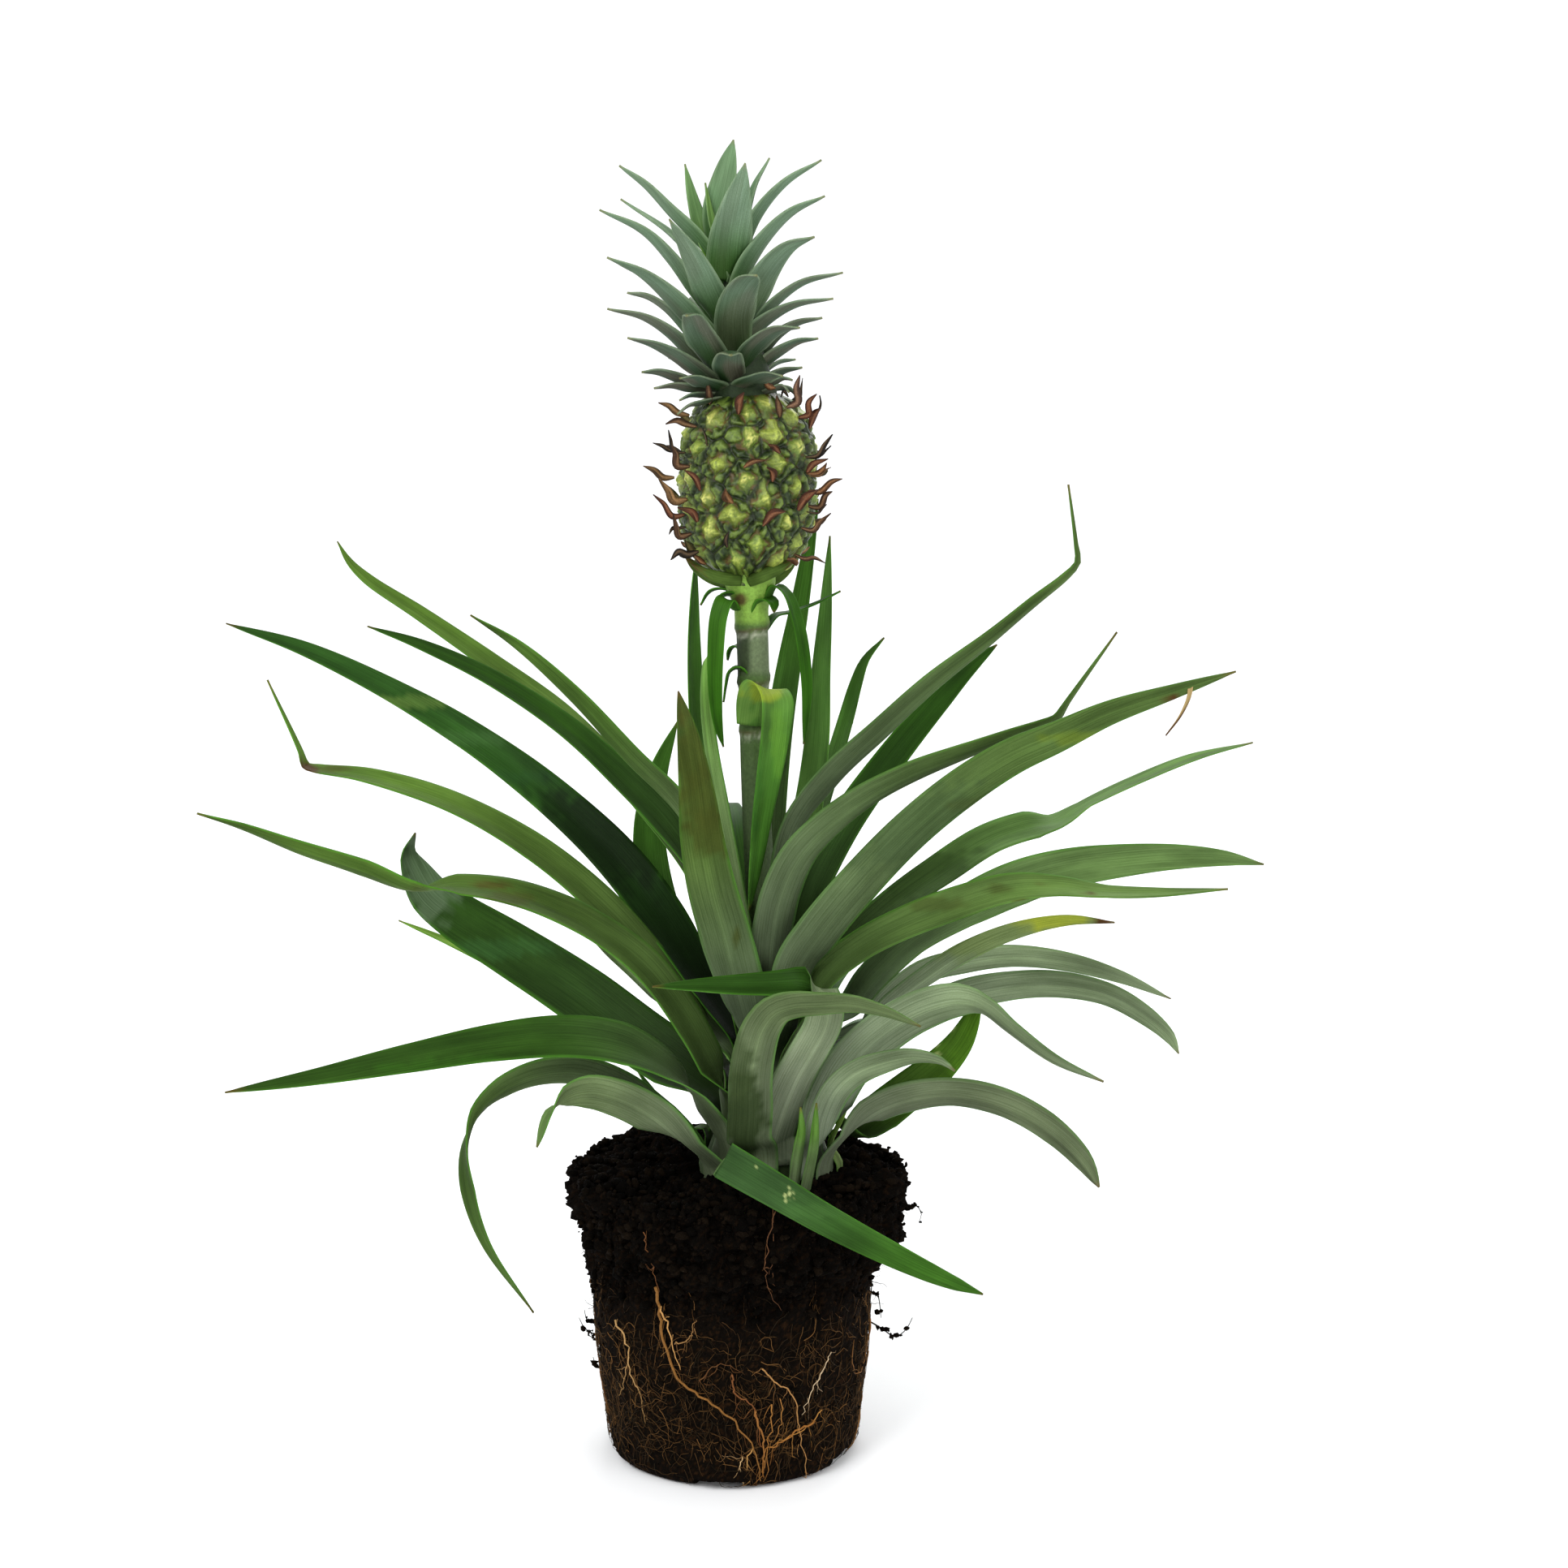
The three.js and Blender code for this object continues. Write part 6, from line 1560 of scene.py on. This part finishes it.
def add_crumbs():
    draw = random.Random(CRUMB_SEED)
    batch = Batch()
    for _ in range(RIM_CRUMBS):
        angle = draw.uniform(0, 2 * math.pi)
        z = BALL_LOOSE_FROM - 10 + (BALL_HEIGHT + 10 - BALL_LOOSE_FROM) * draw.random() ** 0.7
        radius = ball_radius(min(z, BALL_HEIGHT)) + soil_bulge(angle, z) + draw.uniform(-1, 1.4)
        size = 0.35 + 2.0 * draw.random() ** 2.5
        add_crumb(batch, draw, polar(radius, angle, min(z, BALL_HEIGHT)), size, draw.random() ** 2)
    for _ in range(SIDE_CRUMBS):
        angle = draw.uniform(0, 2 * math.pi)
        z = draw.uniform(6, BALL_LOOSE_FROM)
        radius = ball_radius(z) + soil_bulge(angle, z)
        add_crumb(batch, draw, polar(radius, angle, z), 0.3 + 0.8 * draw.random() ** 2, draw.random())
    for _ in range(TOP_CRUMBS):
        angle = draw.uniform(0, 2 * math.pi)
        share = math.sqrt(draw.uniform(0.15, 1))
        radius = (BALL_TOP_RADIUS + soil_bulge(angle, BALL_HEIGHT)) * share
        place = polar(radius, angle, soil_top(angle, share) + 0.6)
        add_crumb(batch, draw, place, 0.4 + 2.2 * draw.random() ** 2, draw.random() ** 2)
    for path, count in HANGING_HAIRS:
        path = [(0.88 * path[0][0], path[0][1]), *path]
        curve = Curve([(x, HAIR_DEPTH, z) for x, z in path])
        add_thread(batch, curve.points, 0.34, CRUMB_BROWN, 4)
        for _ in range(count):
            place = curve.at(draw.random()) + Vector([draw.gauss(0, 0.4) for _ in range(3)])
            add_crumb(batch, draw, place, draw.uniform(0.4, 1.3), draw.random())
    batch.piece("soil_crumbs", SOIL, slot="soil")


def add_thread(batch, points, thick, tone, sides):
    """A thin round root along points in millimetres, tapering to its end."""
    curve = Curve(points)
    shares = curve.stations(1.6)
    verts = []
    facing = Vector((0.3, 0.2, 1)).normalized()
    for t in shares:
        along = curve.tangent(t)
        facing = (facing - along * facing.dot(along)).normalized()
        other = along.cross(facing)
        radius = thick * (1 - 0.65 * t)
        mid = curve.at(t)
        verts += [mid + (facing * math.cos(a) + other * math.sin(a)) * radius for a in turns(sides)]
    batch.add(verts, ring_faces(len(shares), sides, 2), tint=[tone] * len(verts))


def on_ball(x, z):
    """The point of the ball's front that the eye sees in front of x and z on the stem's plane."""
    y = -BALL_BASE_RADIUS
    for _ in range(6):
        point = seen(x, z, y)
        radius = ball_radius(clamp(point.z, 0, BALL_HEIGHT)) + lerp(0.8, 2.4, smoothstep(point.z, 50, 64))
        y = -math.sqrt(max(1, radius ** 2 - point.x ** 2))
    return seen(x, z, y)


# Root hairs that stand off the sides with crumbs on them, seen from the front, and the number of crumbs
HANGING_HAIRS = [
    ([(56, 83), (60, 88), (64, 91), (67, 91.5), (69, 88), (68, 85)], 26),
    ([(57, 92), (61, 93), (64, 91)], 12),
    ([(56, 80), (60, 83), (63, 84)], 12),
    ([(-51, 43), (-54, 45), (-56, 49)], 13),
    ([(-50, 47), (-53, 48), (-54, 52)], 8),
    ([(-50, 41), (-53, 42.5)], 6),
    ([(50, 59), (53, 58), (54, 54), (54.5, 49)], 11),
    ([(49, 48), (53, 46), (56, 44), (59, 42), (61.5, 42.5), (64, 45), (66, 49)], 17),
    ([(-48.5, 30), (-50, 31), (-51, 34)], 6),
]

# Roots that stand out on the front of the ball: points as seen on the stem's plane, thickness and tone
MAIN_ROOTS = [
    ([(-32, 80), (-31, 72), (-28, 62), (-26.5, 52)], 0.3, (96, 60, 32)),
    ([(-28, 60), (-27, 50), (-25, 38), (-19, 23), (-10, 16), (0, 8), (7, -1), (10, -10), (10.5, -15)], 0.85,
        (120, 82, 38)),
    ([(-26.5, 52), (-24, 45), (-22, 36), (-19, 27)], 0.5, (176, 132, 78)),
    ([(-22, 38), (-17, 38.5), (-15, 42), (-13.5, 47)], 0.35, (140, 104, 62)),
    ([(-43, 46), (-39, 38), (-38, 28), (-34, 18), (-32, 8)], 0.5, (168, 132, 84)),
    ([(-39, 29), (-40, 22), (-41.5, 17)], 0.32, (150, 116, 72)),
    ([(16, 88), (12.5, 72), (13, 62), (17.5, 50)], 0.3, (88, 58, 36)),
    ([(36, 34), (33, 27), (29, 19), (26, 10)], 0.34, (196, 172, 138)),
    ([(11, 28), (16, 23), (22, 19), (24, 9), (25, 2), (27, -10), (26, -22)], 0.42, (158, 116, 68)),
    ([(0, 26), (0.5, 19), (6, 15), (9, 8), (11, -4)], 0.5, (110, 68, 36)),
    ([(30, 8), (24, 4), (17, -1), (12, -4), (11, -14)], 0.55, (138, 90, 40)),
    ([(33, 12), (27, 5), (19, 1), (13, -3)], 0.3, (164, 116, 56)),
    ([(15, 14), (14, 5), (13, -2), (11, -12)], 0.35, (146, 100, 48)),
    ([(18, 16), (18, 6), (14, -2)], 0.28, (150, 104, 52)),
    ([(8, 12), (11, 2), (11.5, -8), (10, -20)], 0.6, (132, 88, 42)),
    ([(7, -3), (5, -10), (8, -18), (10, -22)], 0.35, (170, 128, 72)),
    ([(3.5, -6), (3, -12), (4.5, -19)], 0.28, (190, 158, 112)),
    ([(-13, 22), (-8, 28), (-3, 30), (3, 27)], 0.3, (92, 60, 32)),
]
ROOT_SEED = 11
BACK_ROOTS = 26
NET_THREADS = 1900
RIM_HAIRS = 420


def wander(draw, angle, z, steps, step, heading):
    """Points of a root that wanders over the side of the ball."""
    points = []
    turn = heading + draw.uniform(-0.6, 0.6)
    for _ in range(steps):
        radius = ball_radius(clamp(z, 0.5, BALL_HEIGHT)) + soil_bulge(angle, z) + draw.uniform(0.0, 0.7)
        points.append(polar(radius, angle, z))
        turn += draw.gauss(0, 0.45)
        angle += math.cos(turn) * step / radius * (1 if heading > -0.5 else 0.6)
        z = clamp(z + math.sin(turn) * step, 1.0, 88)
    return points


def add_main_roots(draw):
    """Roots that stand out on the front, each with fine shoots, and others behind."""
    batch = Batch()
    for points, thick, tone in MAIN_ROOTS:
        tone = srgb(*tone)
        curve = Curve([on_ball(x, z) for x, z in points])
        count = max(6, len(points) * 4)
        path = []
        for k in range(count + 1):
            place = curve.at(k / count) + Vector((draw.gauss(0, 0.35), 0, draw.gauss(0, 0.35)))
            path.append(Vector((place.x, place.y, max(place.z, 1))))
        add_thread(batch, path, 0.68 * thick, tone, 8)
        for start in path[:count:4]:
            heading = draw.uniform(-2.6, -0.5)
            shoot = wander(draw, math.atan2(start.y, start.x), start.z, draw.randint(4, 8), 1.8, heading)
            add_thread(batch, shoot, draw.uniform(0.12, 0.22), mix(tone, srgb(80, 52, 26), draw.random()), 4)
    for _ in range(BACK_ROOTS):
        angle = draw.uniform(-0.2, math.pi + 0.2)
        z = draw.uniform(30, 70)
        add_thread(batch, wander(draw, angle, z, 14, 4.2, -0.9), draw.uniform(0.2, 0.42),
                   mix(srgb(110, 70, 36), srgb(160, 118, 70), draw.random()), 6)
    batch.piece("main_roots", ROOT, slot="soil")


def add_root_net(draw):
    """Fine threads all over the side of the ball."""
    batch = Batch()
    dark, light = srgb(34, 26, 13), srgb(116, 82, 44)
    for _ in range(NET_THREADS):
        angle = draw.uniform(0, 2 * math.pi)
        z = draw.triangular(2, 74, 16)
        tone = mix(dark, light, draw.random() ** 2.4)
        add_thread(batch, wander(draw, angle, z, draw.randint(4, 9), 2.4, draw.uniform(-3.1, 3.1)),
                   draw.uniform(0.07, 0.17), tone, 3)
    batch.piece("root_net", ROOT, slot="soil")


def add_root_hairs(draw):
    """Short dark hairs that stand off the loose upper part of the ball."""
    batch = Batch()
    tone = srgb(20, 13, 8)
    for _ in range(RIM_HAIRS):
        angle = draw.uniform(0, 2 * math.pi)
        z = draw.uniform(52, BALL_HEIGHT - 2)
        radius = ball_radius(z) + soil_bulge(angle, z)
        out = polar(1, angle, 0)
        points = [out * (radius - 1) + Vector((0, 0, z))]
        for _ in range(3):
            points.append(points[-1] + out * draw.uniform(0.1, 1.6)
                          + Vector((draw.gauss(0, 1), draw.gauss(0, 1), draw.gauss(-0.3, 1))))
        add_thread(batch, points, draw.uniform(0.1, 0.2), tone, 3)
    batch.piece("root_hairs", SOIL, slot="soil")


def add_roots():
    draw = random.Random(ROOT_SEED)
    add_main_roots(draw)
    add_root_net(draw)
    add_root_hairs(draw)


add_camera()
add_stage()
add_lights()
bpy.context.scene.view_settings.view_transform = "Standard"
for number, (leaf, radius) in enumerate(zip(LEAVES, seat_radii(LEAVES)), 1):
    add_leaf(number, leaf, radius)
add_stalk()
add_bracts()
add_fruit()
add_crown()
add_soil()
add_crumbs()
add_roots()
